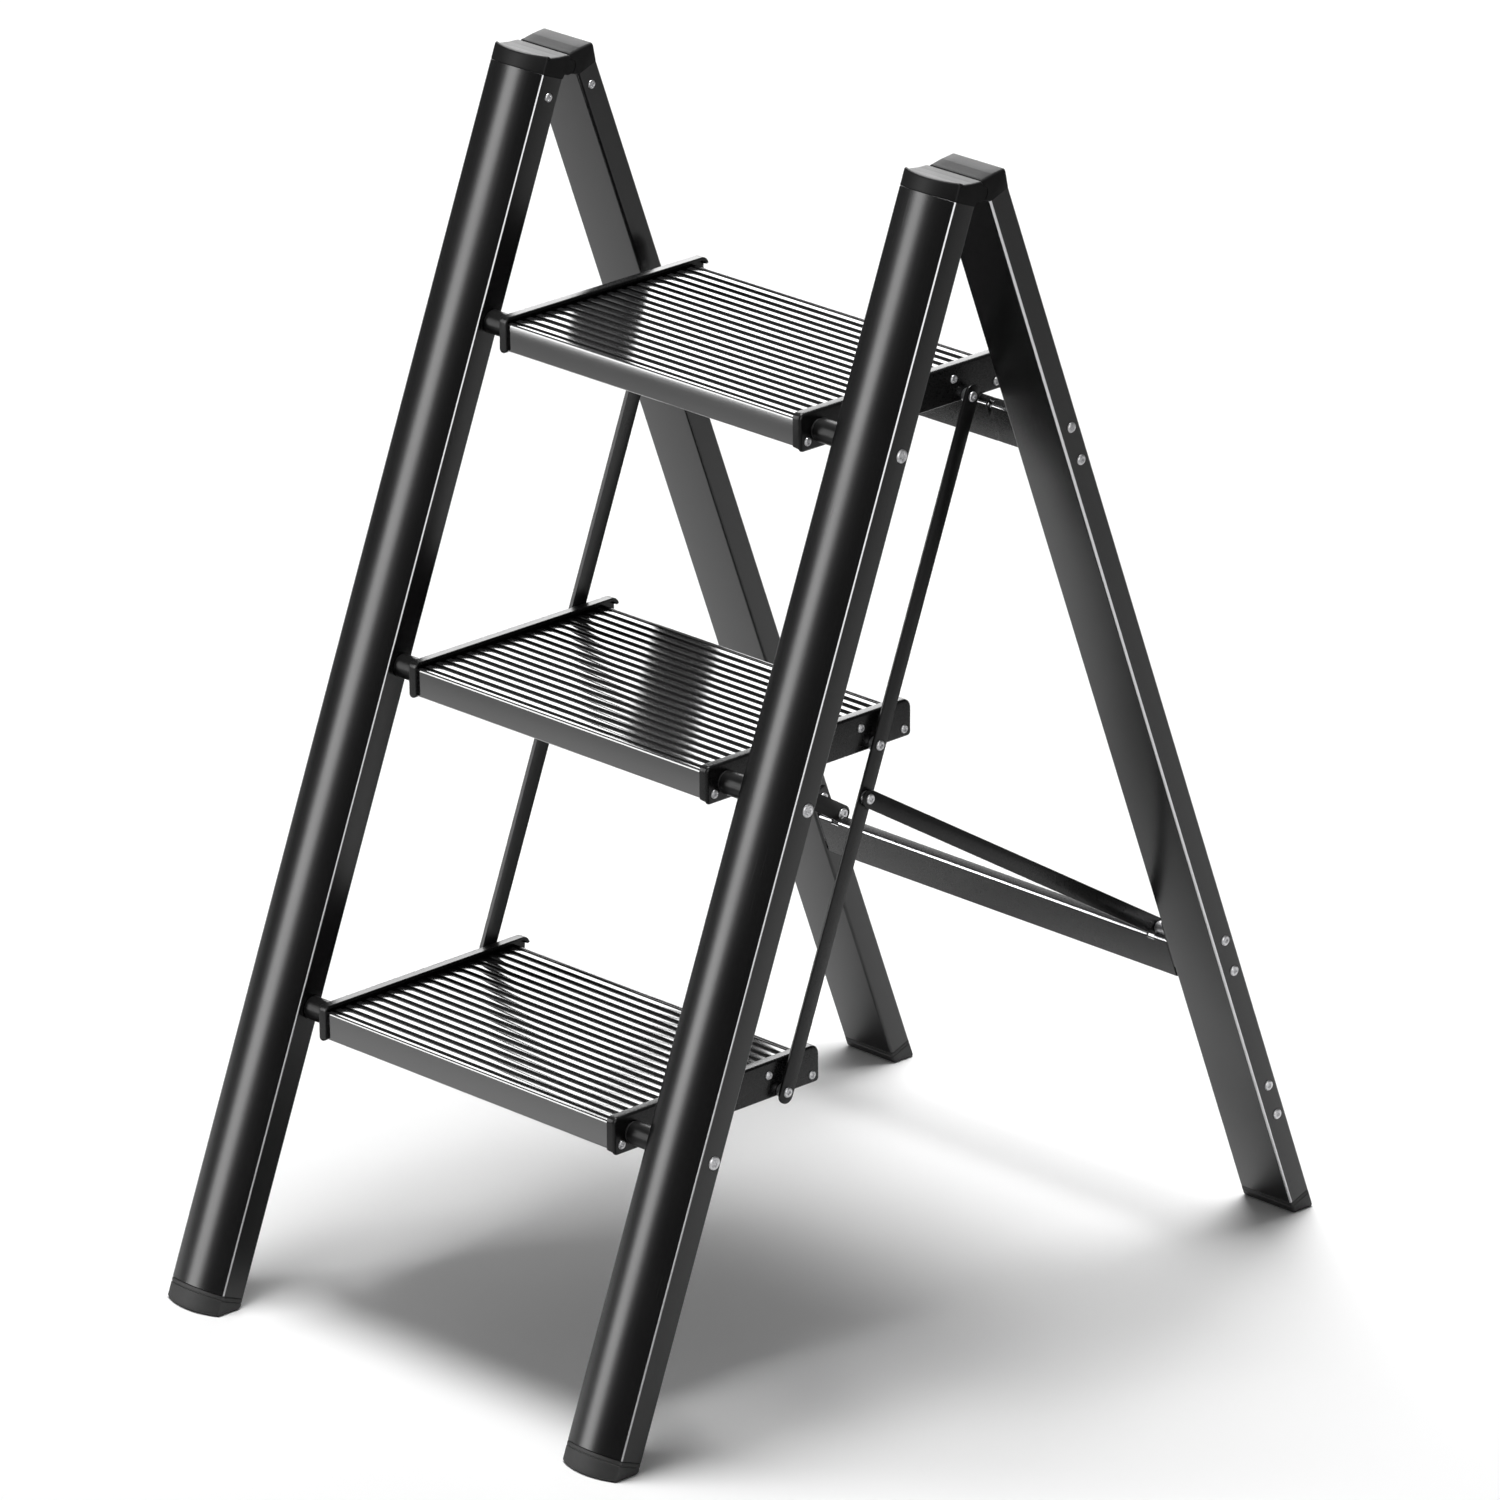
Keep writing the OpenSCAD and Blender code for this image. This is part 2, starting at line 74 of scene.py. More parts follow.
Y_FRONT = -H0 * math.tan(A) + (N_FLAT - BULGE) / CA
Y_REAR = HY + (H0 + HZ) * math.tan(B) + (LEG_N0 + LD) / CB
Y_MID = (Y_FRONT + Y_REAR) / 2
XT = 137.0
BX0, BX1 = XT + 5.3, XT + 7.5
BY0, BY1, BZ0, BZ1 = -17.4, 172.0, -13.0, 13.8
TY0 = -15.2
TY1 = TY0 + 176.6
TZ1 = 9.4
TZ0 = TZ1 - 20
BAR_W, BAR_T = 12.5, 2.0
LX0 = BX1 + 4
LX1 = LX0 + BAR_T
FX0 = LX1 + 2.1
FX1 = FX0 + BAR_T
LINK = (136.3, -9.4)
FOLD_K = 204.0
E_N, E_R = 14.9, 641.2
KR = 5.8


def uf(s, n):
    """Side-view point at s up the stile and n behind its pivot line."""
    return (s * SA + n * CA, s * CA - n * SA)


def lf(h, n):
    """Side-view point at h above the hinge along the leg and n behind the hinge axis."""
    return (HY + n * CB - h * SB, HZ + n * SB + h * CB)


def W(x, y, z):
    """Side-view millimetres to metres in the row frame."""
    return Vector((x / 1000, (y - Y_MID) / 1000, (z + H0) / 1000))


PIV = [uf(i * STEP, 0) for i in range(3)]
E_YZ = lf(-E_R, E_N)
D_YZ = (LINK[0] + FOLD_K * SA, LINK[1] + FOLD_K * CA)

# ------------------------------------------------------------------ outline helpers


def arc(cx, cy, r, a0, a1, n):
    return [(cx + r * math.cos(math.radians(a0 + (a1 - a0) * i / n)),
             cy + r * math.sin(math.radians(a0 + (a1 - a0) * i / n))) for i in range(n + 1)]


def rrect(x0, x1, y0, y1, r, n=5):
    return (arc(x0 + r, y0 + r, r, 180, 270, n) + arc(x1 - r, y0 + r, r, 270, 360, n)
            + arc(x1 - r, y1 - r, r, 0, 90, n) + arc(x0 + r, y1 - r, r, 90, 180, n))


def fillet(pts, n=5):
    """pts are (u, v, radius); corners with a radius come back as arcs of n segments."""
    out = []
    m = len(pts)
    for i in range(m):
        p = Vector(pts[i][:2])
        r = pts[i][2]
        if r <= 0:
            out.append((p.x, p.y))
            continue
        a = (Vector(pts[i - 1][:2]) - p).normalized()
        b = (Vector(pts[(i + 1) % m][:2]) - p).normalized()
        half = a.angle(b) / 2
        t = r / math.tan(half)
        t = min(t, 0.49 * (Vector(pts[i - 1][:2]) - p).length, 0.49 * (Vector(pts[(i + 1) % m][:2]) - p).length)
        rr = t * math.tan(half)
        c = p + (a + b).normalized() * (rr / math.sin(half))
        s, e = p + a * t - c, p + b * t - c
        a0, a1 = math.atan2(s.y, s.x), math.atan2(e.y, e.x)
        d = (a1 - a0 + math.pi) % (2 * math.pi) - math.pi
        for k in range(n + 1):
            q = a0 + d * k / n
            out.append((c.x + rr * math.cos(q), c.y + rr * math.sin(q)))
    return out


def area2(poly):
    return sum(poly[i - 1][0] * poly[i][1] - poly[i][0] * poly[i - 1][1] for i in range(len(poly))) / 2


def inset(poly, d):
    """Moves every side of a closed outline inwards by d."""
    sg = 1 if area2(poly) > 0 else -1
    out = []
    m = len(poly)
    for i in range(m):
        p0, p1, p2 = Vector(poly[i - 1]), Vector(poly[i]), Vector(poly[(i + 1) % m])
        e0, e1 = p1 - p0, p2 - p1
        if e0.length < 1e-6:
            e0 = e1
        if e1.length < 1e-6:
            e1 = e0
        e0, e1 = e0.normalized(), e1.normalized()
        n0, n1 = Vector((-e0.y, e0.x)) * sg, Vector((-e1.y, e1.x)) * sg
        k = n0 + n1
        if k.length < 1e-6:
            k = n0
        k = k / max(0.35, k.length_squared / 2)
        out.append((p1.x + k.x * d, p1.y + k.y * d))
    return out


# ------------------------------------------------------------------ mesh helpers
BUILT = []


def finish_mesh(name, verts, faces, body, nodes, mat, sharp=32, merge=True):
    me = bpy.data.meshes.new(name)
    me.from_pydata([tuple(v) for v in verts], [], faces)
    me.update()
    import bmesh
    bm = bmesh.new()
    bm.from_mesh(me)
    if merge:
        bmesh.ops.remove_doubles(bm, verts=bm.verts, dist=2e-6)
        bmesh.ops.dissolve_degenerate(bm, edges=bm.edges, dist=1e-7)
    bmesh.ops.recalc_face_normals(bm, faces=bm.faces)
    bm.to_mesh(me)
    bm.free()
    for p in me.polygons:
        p.use_smooth = True
    me.set_sharp_from_angle(angle=math.radians(sharp))
    o = bpy.data.objects.new(name, me)
    bpy.context.scene.collection.objects.link(o)
    me.materials.append(mat)
    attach(o, body)
    if nodes:
        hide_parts(*nodes)
    BUILT.append(o)
    return o


class Shape:
    """Collects rings of points into closed shells."""

    def __init__(self):
        self.v = []
        self.f = []

    def ring(self, pts):
        i = len(self.v)
        self.v += [Vector(p) for p in pts]
        return list(range(i, i + len(pts)))

    def bridge(self, a, b, closed=True):
        n = len(a)
        for i in range(n if closed else n - 1):
            j = (i + 1) % n
            self.f.append((a[i], a[j], b[j], b[i]))

    def cap(self, a):
        self.f.append(tuple(a))

    def loft(self, rings, ends=True, loop=False):
        ids = [self.ring(r) for r in rings]
        for a, b in zip(ids, ids[1:]):
            self.bridge(a, b)
        if loop:
            self.bridge(ids[-1], ids[0])
        elif ends:
            self.cap(ids[0])
            self.cap(ids[-1])
        return ids

    def revolve(self, prof, x0, y, z, sx, seg=40):
        """prof is (distance along X from x0, radius); the ends close on the axis."""
        rings = []
        for d, r in prof:
            rings.append([W(x0 + sx * d, y + r * math.cos(2 * math.pi * k / seg), z + r * math.sin(2 * math.pi * k / seg))
                          for k in range(seg)])
        self.loft(rings)


def sides():
    return ((1, "right"), (-1, "left"))


# ------------------------------------------------------------------ materials
def nodes_of(m):
    m.use_nodes = True
    nt = m.node_tree
    return nt, nt.nodes, nt.links, nt.nodes["Principled BSDF"]


def add(nt, kind, **kw):
    n = nt.nodes.new(kind)
    for k, v in kw.items():
        setattr(n, k, v)
    return n


def black_finish(name, base, tint, rough, spec_ior, grain=(1, 1, 1), grain_scale=900.0, grain_amt=0.05,
                 peel=0.0, peel_scale=300.0, rough_var=0.05, coat=0.0, coat_rough=0.05, metal=0.0, wear=0.0,
                 lean=None, speck=0.0, spec=0.5, cut=None,
                 painted_highlight_tone=(0.6, 0.6, 0.61)):
    """A dark coated surface: stretched grain, orange peel, slow changes in gloss and a little edge wear; cut paints a
    highlight, a light metallic band on the corners it picks out.
    """
    m = bpy.data.materials.new(name)
    nt, ns, ln, b = nodes_of(m)
    b.inputs["Metallic"].default_value = metal
    b.inputs["IOR"].default_value = spec_ior
    b.inputs["Specular IOR Level"].default_value = spec
    b.inputs["Coat Weight"].default_value = coat
    b.inputs["Coat Roughness"].default_value = coat_rough
    tc = add(nt, "ShaderNodeTexCoord")
    mp = add(nt, "ShaderNodeMapping")
    if lean is not None:
        mp.inputs["Rotation"].default_value = (lean, 0, 0)
    ln.new(tc.outputs["Object"], mp.inputs["Vector"])
    st = add(nt, "ShaderNodeMapping")
    st.inputs["Scale"].default_value = grain
    ln.new(mp.outputs["Vector"], st.inputs["Vector"])
    g = add(nt, "ShaderNodeTexNoise")
    g.inputs["Scale"].default_value = grain_scale
    g.inputs["Detail"].default_value = 3.0
    g.inputs["Roughness"].default_value = 0.6
    ln.new(st.outputs["Vector"], g.inputs["Vector"])
    slow = add(nt, "ShaderNodeTexNoise")
    slow.inputs["Scale"].default_value = 9.0
    slow.inputs["Detail"].default_value = 4.0
    ln.new(mp.outputs["Vector"], slow.inputs["Vector"])
    # colour: the coat's slight unevenness
    cr = add(nt, "ShaderNodeValToRGB")
    cr.color_ramp.elements[0].position = 0.35
    cr.color_ramp.elements[1].position = 0.7
    cr.color_ramp.elements[0].color = (*base, 1)
    cr.color_ramp.elements[1].color = (*tint, 1)
    mixf = add(nt, "ShaderNodeMath", operation="ADD")
    mul = add(nt, "ShaderNodeMath", operation="MULTIPLY")
    mul.inputs[1].default_value = 0.5
    mul2 = add(nt, "ShaderNodeMath", operation="MULTIPLY")
    mul2.inputs[1].default_value = 0.5
    ln.new(slow.outputs["Fac"], mul.inputs[0])
    ln.new(g.outputs["Fac"], mul2.inputs[0])
    ln.new(mul.outputs[0], mixf.inputs[0])
    ln.new(mul2.outputs[0], mixf.inputs[1])
    ln.new(mixf.outputs[0], cr.inputs["Fac"])
    colour = cr.outputs["Color"]
    if speck > 0:
        vo = add(nt, "ShaderNodeTexNoise")
        vo.inputs["Scale"].default_value = 2600.0
        vo.inputs["Detail"].default_value = 2.0
        ln.new(mp.outputs["Vector"], vo.inputs["Vector"])
        sr = add(nt, "ShaderNodeMapRange")
        sr.inputs["From Min"].default_value = 0.62
        sr.inputs["From Max"].default_value = 0.75
        sr.inputs["To Max"].default_value = speck
        ln.new(vo.outputs["Fac"], sr.inputs["Value"])
        mx = add(nt, "ShaderNodeMix", data_type="RGBA")
        mx.inputs["B"].default_value = (0.12, 0.12, 0.125, 1)
        ln.new(sr.outputs["Result"], mx.inputs["Factor"])
        ln.new(colour, mx.inputs["A"])
        colour = mx.outputs["Result"]
    if wear > 0:
        geo = add(nt, "ShaderNodeNewGeometry")
        wr = add(nt, "ShaderNodeMapRange")
        wr.inputs["From Min"].default_value = 0.56
        wr.inputs["From Max"].default_value = 0.66
        wr.inputs["To Max"].default_value = wear
        ln.new(geo.outputs["Pointiness"], wr.inputs["Value"])
        wn = add(nt, "ShaderNodeTexNoise")
        wn.inputs["Scale"].default_value = 120.0
        wn.inputs["Detail"].default_value = 5.0
        ln.new(mp.outputs["Vector"], wn.inputs["Vector"])
        wm = add(nt, "ShaderNodeMath", operation="MULTIPLY")
        ln.new(wr.outputs["Result"], wm.inputs[0])
        ln.new(wn.outputs["Fac"], wm.inputs[1])
        mw = add(nt, "ShaderNodeMix", data_type="RGBA")
        mw.inputs["B"].default_value = (0.18, 0.18, 0.185, 1)
        ln.new(wm.outputs[0], mw.inputs["Factor"])
        ln.new(colour, mw.inputs["A"])
        colour = mw.outputs["Result"]
    edge = None
    if cut is not None:
        # painted highlight on the front corners: a light metallic band, picked out by the surface's own direction,
        # stands in for the glint of light on the rounded edge
        lo_x, hi_x, front, sign, f0, f1 = cut
        sp = add(nt, "ShaderNodeSeparateXYZ")
        ln.new(tc.outputs["Normal"], sp.inputs[0])
        ax = add(nt, "ShaderNodeMath", operation="ABSOLUTE" if sign == 0 else "MULTIPLY")
        ln.new(sp.outputs[0], ax.inputs[0])
        if sign != 0:
            # painted highlight only on the corner on the outer side of each leg
            so = add(nt, "ShaderNodeSeparateXYZ")
            ln.new(tc.outputs["Object"], so.inputs[0])
            sg = add(nt, "ShaderNodeMath", operation="SIGN")
            ln.new(so.outputs[0], sg.inputs[0])
            ln.new(sg.outputs[0], ax.inputs[1])
        m1 = add(nt, "ShaderNodeMapRange", interpolation_type="SMOOTHSTEP")
        m1.inputs["From Min"].default_value = lo_x
        m1.inputs["From Max"].default_value = lo_x + 0.08
        ln.new(ax.outputs[0], m1.inputs["Value"])
        m2 = add(nt, "ShaderNodeMapRange", interpolation_type="SMOOTHSTEP")
        m2.inputs["From Min"].default_value = hi_x
        m2.inputs["From Max"].default_value = hi_x + 0.03
        m2.inputs["To Min"].default_value = 1.0
        m2.inputs["To Max"].default_value = 0.0
        ln.new(ax.outputs[0], m2.inputs["Value"])
        dt = add(nt, "ShaderNodeVectorMath", operation="DOT_PRODUCT")
        dt.inputs[1].default_value = front
        ln.new(tc.outputs["Normal"], dt.inputs[0])
        m3 = add(nt, "ShaderNodeMapRange", interpolation_type="SMOOTHSTEP")
        m3.inputs["From Min"].default_value = f0
        m3.inputs["From Max"].default_value = f1
        ln.new(dt.outputs["Value"], m3.inputs["Value"])
        p1 = add(nt, "ShaderNodeMath", operation="MULTIPLY")
        p2 = add(nt, "ShaderNodeMath", operation="MULTIPLY")
        ln.new(m1.outputs["Result"], p1.inputs[0])
        ln.new(m2.outputs["Result"], p1.inputs[1])
        ln.new(p1.outputs[0], p2.inputs[0])
        ln.new(m3.outputs["Result"], p2.inputs[1])
        edge = p2.outputs[0]
        # the painted highlight: its light tone is mixed in, and the band is made metallic, where the mask is set
        mc = add(nt, "ShaderNodeMix", data_type="RGBA")
        mc.inputs["B"].default_value = (*painted_highlight_tone, 1)
        ln.new(edge, mc.inputs["Factor"])
        ln.new(colour, mc.inputs["A"])
        colour = mc.outputs["Result"]
        ln.new(edge, b.inputs["Metallic"])
    ln.new(colour, b.inputs["Base Color"])
    # gloss
    rr = add(nt, "ShaderNodeMapRange")
    rr.inputs["From Min"].default_value = 0.3
    rr.inputs["From Max"].default_value = 0.7
    rr.inputs["To Min"].default_value = max(0.02, rough - rough_var)
    rr.inputs["To Max"].default_value = rough + rough_var
    ln.new(mixf.outputs[0], rr.inputs["Value"])
    ln.new(rr.outputs["Result"], b.inputs["Roughness"])
    # relief
    bp = add(nt, "ShaderNodeBump")
    bp.inputs["Strength"].default_value = grain_amt
    bp.inputs["Distance"].default_value = 0.0002
    ln.new(g.outputs["Fac"], bp.inputs["Height"])
    last = bp
    if peel > 0:
        pn = add(nt, "ShaderNodeTexNoise")
        pn.inputs["Scale"].default_value = peel_scale
        pn.inputs["Detail"].default_value = 1.5
        ln.new(mp.outputs["Vector"], pn.inputs["Vector"])
        b2 = add(nt, "ShaderNodeBump")
        b2.inputs["Strength"].default_value = peel
        b2.inputs["Distance"].default_value = 0.0004
        ln.new(pn.outputs["Fac"], b2.inputs["Height"])
        ln.new(bp.outputs["Normal"], b2.inputs["Normal"])
        last = b2
    ln.new(last.outputs["Normal"], b.inputs["Normal"])
    return m


def steel(name, base, dark, rough):
    """Bright zinc-plated steel with fine turned marks and slight patches."""
    m = bpy.data.materials.new(name)
    nt, ns, ln, b = nodes_of(m)
    b.inputs["Metallic"].default_value = 1.0
    tc = add(nt, "ShaderNodeTexCoord")
    n1 = add(nt, "ShaderNodeTexNoise")
    n1.inputs["Scale"].default_value = 420.0
    n1.inputs["Detail"].default_value = 6.0
    ln.new(tc.outputs["Object"], n1.inputs["Vector"])
    n2 = add(nt, "ShaderNodeTexNoise")
    n2.inputs["Scale"].default_value = 3200.0
    n2.inputs["Detail"].default_value = 2.0
    mp = add(nt, "ShaderNodeMapping")
    mp.inputs["Scale"].default_value = (0.2, 1.0, 1.0)
    ln.new(tc.outputs["Object"], mp.inputs["Vector"])
    ln.new(mp.outputs["Vector"], n2.inputs["Vector"])
    cr = add(nt, "ShaderNodeValToRGB")
    cr.color_ramp.elements[0].position = 0.3
    cr.color_ramp.elements[1].position = 0.62
    cr.color_ramp.elements[0].color = (*dark, 1)
    cr.color_ramp.elements[1].color = (*base, 1)
    ln.new(n1.outputs["Fac"], cr.inputs["Fac"])
    ln.new(cr.outputs["Color"], b.inputs["Base Color"])
    rr = add(nt, "ShaderNodeMapRange")
    rr.inputs["To Min"].default_value = rough - 0.08
    rr.inputs["To Max"].default_value = rough + 0.12
    ln.new(n2.outputs["Fac"], rr.inputs["Value"])
    ln.new(rr.outputs["Result"], b.inputs["Roughness"])
    bp = add(nt, "ShaderNodeBump")
    bp.inputs["Strength"].default_value = 0.05
    bp.inputs["Distance"].default_value = 0.0001
    ln.new(n2.outputs["Fac"], bp.inputs["Height"])
    ln.new(bp.outputs["Normal"], b.inputs["Normal"])
    return m


M = {
    # cut on the stile, leg and brace finishes paints a highlight: a light metallic band on the front corners, and on
    # the brace's front-facing top bead, stands in for light glinting there
    "front_stile": black_finish("black_anodised_stile", (0.003, 0.003, 0.0032), (0.005, 0.005, 0.0052), 0.25, 1.45,
                                grain=(1, 1, 0.012), grain_scale=1500, grain_amt=0.010, rough_var=0.03, lean=A, wear=0.0,
                                peel=0.010, peel_scale=30, cut=(0.56, 0.94, (0.0, -CA, SA), 0, 0.1, 0.2), painted_highlight_tone=(0.34, 0.34, 0.345)),
    "rear_leg": black_finish("black_anodised_leg", (0.003, 0.003, 0.0032), (0.006, 0.006, 0.0062), 0.22, 1.52,
                             grain=(1, 1, 0.012), grain_scale=1500, grain_amt=0.012, rough_var=0.04, lean=-B, wear=0.0,
                             peel=0.010, peel_scale=30, cut=(0.30, 0.94, (0.0, -CB, -SB), 1, 0.1, 0.2)),
    "tread": black_finish("black_anodised_tread", (0.004, 0.004, 0.0042), (0.008, 0.008, 0.0082), 0.13, 2.1,
                          grain=(0.012, 1, 1), grain_scale=1500, grain_amt=0.005, rough_var=0.02, wear=0.2),
    # groove: painted shade, the tread's finish made darker and duller for the faces inside the grooves
    "groove": black_finish("black_anodised_groove_painted_shade", (0.003, 0.003, 0.0032), (0.006, 0.006, 0.0062), 0.4, 1.25,
                           grain=(0.012, 1, 1), grain_scale=1500, grain_amt=0.005, rough_var=0.03),
    "bracket": black_finish("black_powder_bracket", (0.004, 0.004, 0.0042), (0.007, 0.007, 0.0072), 0.28, 1.33,
                            grain_scale=1200, grain_amt=0.05, peel=0.18, peel_scale=420, rough_var=0.05, wear=0.2),
    "cross_brace": black_finish("black_powder_brace", (0.006, 0.006, 0.0062), (0.010, 0.010, 0.0102), 0.27, 1.40,
                                grain_scale=1200, grain_amt=0.03, peel=0.08, peel_scale=420, rough_var=0.05, wear=0.0,
                                cut=(-2.0, 0.5, (0.0, -0.909, 0.417), 0, 0.93, 0.975), painted_highlight_tone=(0.5, 0.5, 0.51)),
    "flat_bar": black_finish("black_powder_bar", (0.005, 0.005, 0.0052), (0.008, 0.008, 0.0082), 0.3, 1.35,
                             grain_scale=1200, grain_amt=0.05, peel=0.16, peel_scale=420, rough_var=0.05, wear=0.2),
    "sleeve": black_finish("black_coated_sleeve", (0.004, 0.004, 0.004), (0.007, 0.007, 0.007), 0.32, 1.25,
                           grain=(0.05, 1, 1), grain_scale=1500, grain_amt=0.06, rough_var=0.05, wear=0.15),
    "cap": black_finish("black_moulded_cap", (0.009, 0.009, 0.0092), (0.013, 0.013, 0.0132), 0.42, 1.19,
                        grain_scale=2600, grain_amt=0.10, peel=0.05, peel_scale=700, rough_var=0.05, speck=0.03, wear=0.1),
    "foot": black_finish("black_rubber_foot", (0.010, 0.010, 0.010), (0.018, 0.018, 0.0178), 0.55, 1.45,
                         grain_scale=2200, grain_amt=0.3, peel=0.12, peel_scale=520, rough_var=0.08, speck=0.06, wear=0.1),
    "bush": black_finish("black_nylon_bush", (0.03, 0.03, 0.03), (0.05, 0.05, 0.05), 0.45, 1.5,
                         grain_scale=1800, grain_amt=0.12, rough_var=0.06),
    "fastener": steel("zinc_steel", (0.62, 0.62, 0.63), (0.40, 0.40, 0.41), 0.34),
}

for name, ob in frame["nodes"].items():
    sl = [p["material_slot"] for p in frame["record"]["subparts"] if p["node"] == name][0]
    ob.data.materials.clear()
    ob.data.materials.append(M[sl])

# ------------------------------------------------------------------ front stiles and feet
S_R = ((STILE_W / 2) ** 2 + BULGE ** 2) / (2 * BULGE)
S_CY = N_FLAT - BULGE + S_R


def stile_outline(t, back, rc, rb, n_arc=44):
    """Outline (x, n), counter-clockwise from the front left."""
    a = STILE_W / 2 - t
    R = S_R - t
    yc = S_CY - math.sqrt((R - rc) ** 2 - (a - rc) ** 2)
    th = math.degrees(math.atan2(yc - S_CY, a - rc))
    return (arc(0, S_CY, R, -180 - th, th, n_arc) + arc(a - rc, yc, rc, th, 0, 6)[1:]
            + arc(a - rb, back - rb, rb, 0, 90, 5) + arc(-(a - rb), back - rb, rb, 90, 180, 5)
            + arc(-(a - rc), yc, rc, -180, -180 - th, 6)[:-1])


def on_stile(sx, x, n, s):
    y, z = uf(s, n)
    return W(sx * x, y, z)


def on_leg(sx, x, n, h):
    y, z = lf(h, n)
    return W(sx * x, y, z)


for sx, side in sides():
    sh = Shape()
    out = stile_outline(0, N_BACK, 2.0, 1.3)
    inn = stile_outline(1.5, N_BACK - 1.5, 1.0, 0.6)
    ch = 0.25
    o2 = inset(out, ch)
    rings = []
    for s, ol in ((S_BOT + ch, out), (S_TOP - ch, out), (S_TOP, o2), (S_TOP, inn), (S_BOT, inn), (S_BOT, o2)):
        rings.append([on_stile(sx, XM + p[0], p[1], s) for p in ol])
    sh.loft(rings, loop=True)
    finish_mesh("stile_tube_" + side, sh.v, sh.f, "front_frame", ["front_stile_" + side], M["front_stile"], sharp=28)

    # foot: a moulded cap that carries on the tube's outline down to the floor
    sh = Shape()
    rings = []
    fo = stile_outline(0.0, N_BACK, 2.0, 1.3)
    f1 = inset(fo, 0.7)

    def ground_s(n):
        return (-H0 + n * SA) / CA

    levels = [("top", 0.7, 0.0), ("top", 0.15, -0.35), ("top", 0.0, -0.9)]
    for _, d, ds in levels:
        o = inset(fo, d) if d else fo
        rings.append([on_stile(sx, XM + p[0], p[1], S_BOT - 0.05 + ds) for p in o])
    # a shallow band groove under the tube's end
    for d, ds in ((0.0, -2.6), (0.35, -2.9), (0.35, -3.4), (0.0, -3.7)):
        o = inset(fo, d) if d else fo
        rings.append([on_stile(sx, XM + p[0], p[1], min(S_BOT + ds, 1e9)) for p in o])
    r = 2.4
    for k in range(6):
        q = math.radians(90 * k / 5)
        o = inset(fo, r * (1 - math.cos(q))) if k else fo
        ring = []
        for p in o:
            s = ground_s(p[1]) + r * (1 - math.sin(q)) / CA
            ring.append(on_stile(sx, XM + p[0], p[1], s))
        rings.append(ring)
    sh.loft(rings)
    finish_mesh("stile_foot_" + side, sh.v, sh.f, "front_frame", ["front_foot_" + side], M["foot"], sharp=28)

# ------------------------------------------------------------------ rear legs and feet
for sx, side in sides():
    sh = Shape()
    y0, y1 = LEG_N0, LEG_N0 + LD
    out = rrect(LI, LO, y0, y1, 2.2, 6)
    inn = rrect(LI + 1.5, LO - 1.5, y0 + 1.5, y1 - 1.5, 0.8, 6)
    ch = 0.25
    o2 = inset(out, ch)
    rings = []
    for h, ol in ((LEG_BOT + ch, out), (LEG_TOP - ch, out), (LEG_TOP, o2), (LEG_TOP, inn), (LEG_BOT, inn), (LEG_BOT, o2)):
        rings.append([on_leg(sx, p[0], p[1], h) for p in ol])
    sh.loft(rings, loop=True)
    finish_mesh("leg_tube_" + side, sh.v, sh.f, "rear_frame", ["rear_leg_" + side], M["rear_leg"], sharp=28)

    sh = Shape()

    def ground_h(n):
        return (-H0 - HZ - n * SB) / CB

    rings = []
    for d, dh in ((0.7, 0.0), (0.15, -0.35), (0.0, -0.9), (0.0, -2.2), (0.35, -2.5), (0.35, -3.0), (0.0, -3.3)):
        o = inset(out, d) if d else out
        rings.append([on_leg(sx, p[0], p[1], LEG_BOT - 0.05 + dh) for p in o])
    r = 2.2
    for k in range(6):
        q = math.radians(90 * k / 5)
        o = inset(out, r * (1 - math.cos(q))) if k else out
        rings.append([on_leg(sx, p[0], p[1], ground_h(p[1]) + r * (1 - math.sin(q)) / CB) for p in o])
    sh.loft(rings)
    finish_mesh("leg_foot_" + side, sh.v, sh.f, "rear_frame", ["rear_foot_" + side], M["foot"], sharp=28)

# ------------------------------------------------------------------ treads
RIB_P, RIB_W, GROOVE = 9.34, 4.9, 1.5
PLATE = 6.1


def tread_profile():
    g = TZ1 - GROOVE
    pts = [(TY0, TZ0 + 1, 0.5), (TY0, TZ1, 1.5), (TY0 + 3.9, TZ1, 0.9), (TY0 + 4.4, g, 0.5)]
    for k in range(0, 18):
        c = -5.8 + RIB_P * k
        a, b = c - RIB_W / 2, c + RIB_W / 2
        pts += [(a, g, 0.45), (a + 0.12, TZ1 - 0.35, 0.2), (a + 0.55, TZ1, 0.25), (b - 0.25, TZ1, 0.45), (b, g, 0.45)]
    pts += [(TY1 - 3.6, g, 0.4), (TY1 - 3.3, TZ1 - 0.5, 0.5), (TY1 - 1.6, TZ1, 1.2), (TY1, TZ1 - 0.9, 1.0), (TY1, TZ0, 0.6), (TY1 - 8, TZ0, 0.6), (TY1 - 8, TZ0 + 1.8, 0.6),
            (TY1 - 2, TZ0 + 1.8, 0.8), (TY1 - 2, PLATE, 0.8), (101.8, PLATE, 0.8), (101.8, TZ0, 0.5), (100, TZ0, 0.5), (100, PLATE, 0.8),
            (43.8, PLATE, 0.8), (43.8, TZ0, 0.5), (42, TZ0, 0.5), (42, PLATE, 0.8),
            (TY0 + 2, PLATE, 0.8), (TY0 + 2, TZ0 + 1.8, 0.8), (TY0 + 8, TZ0 + 1.8, 0.6), (TY0 + 8, TZ0, 0.6), (TY0 + 1, TZ0, 0.3)]
    return fillet(pts, 4)


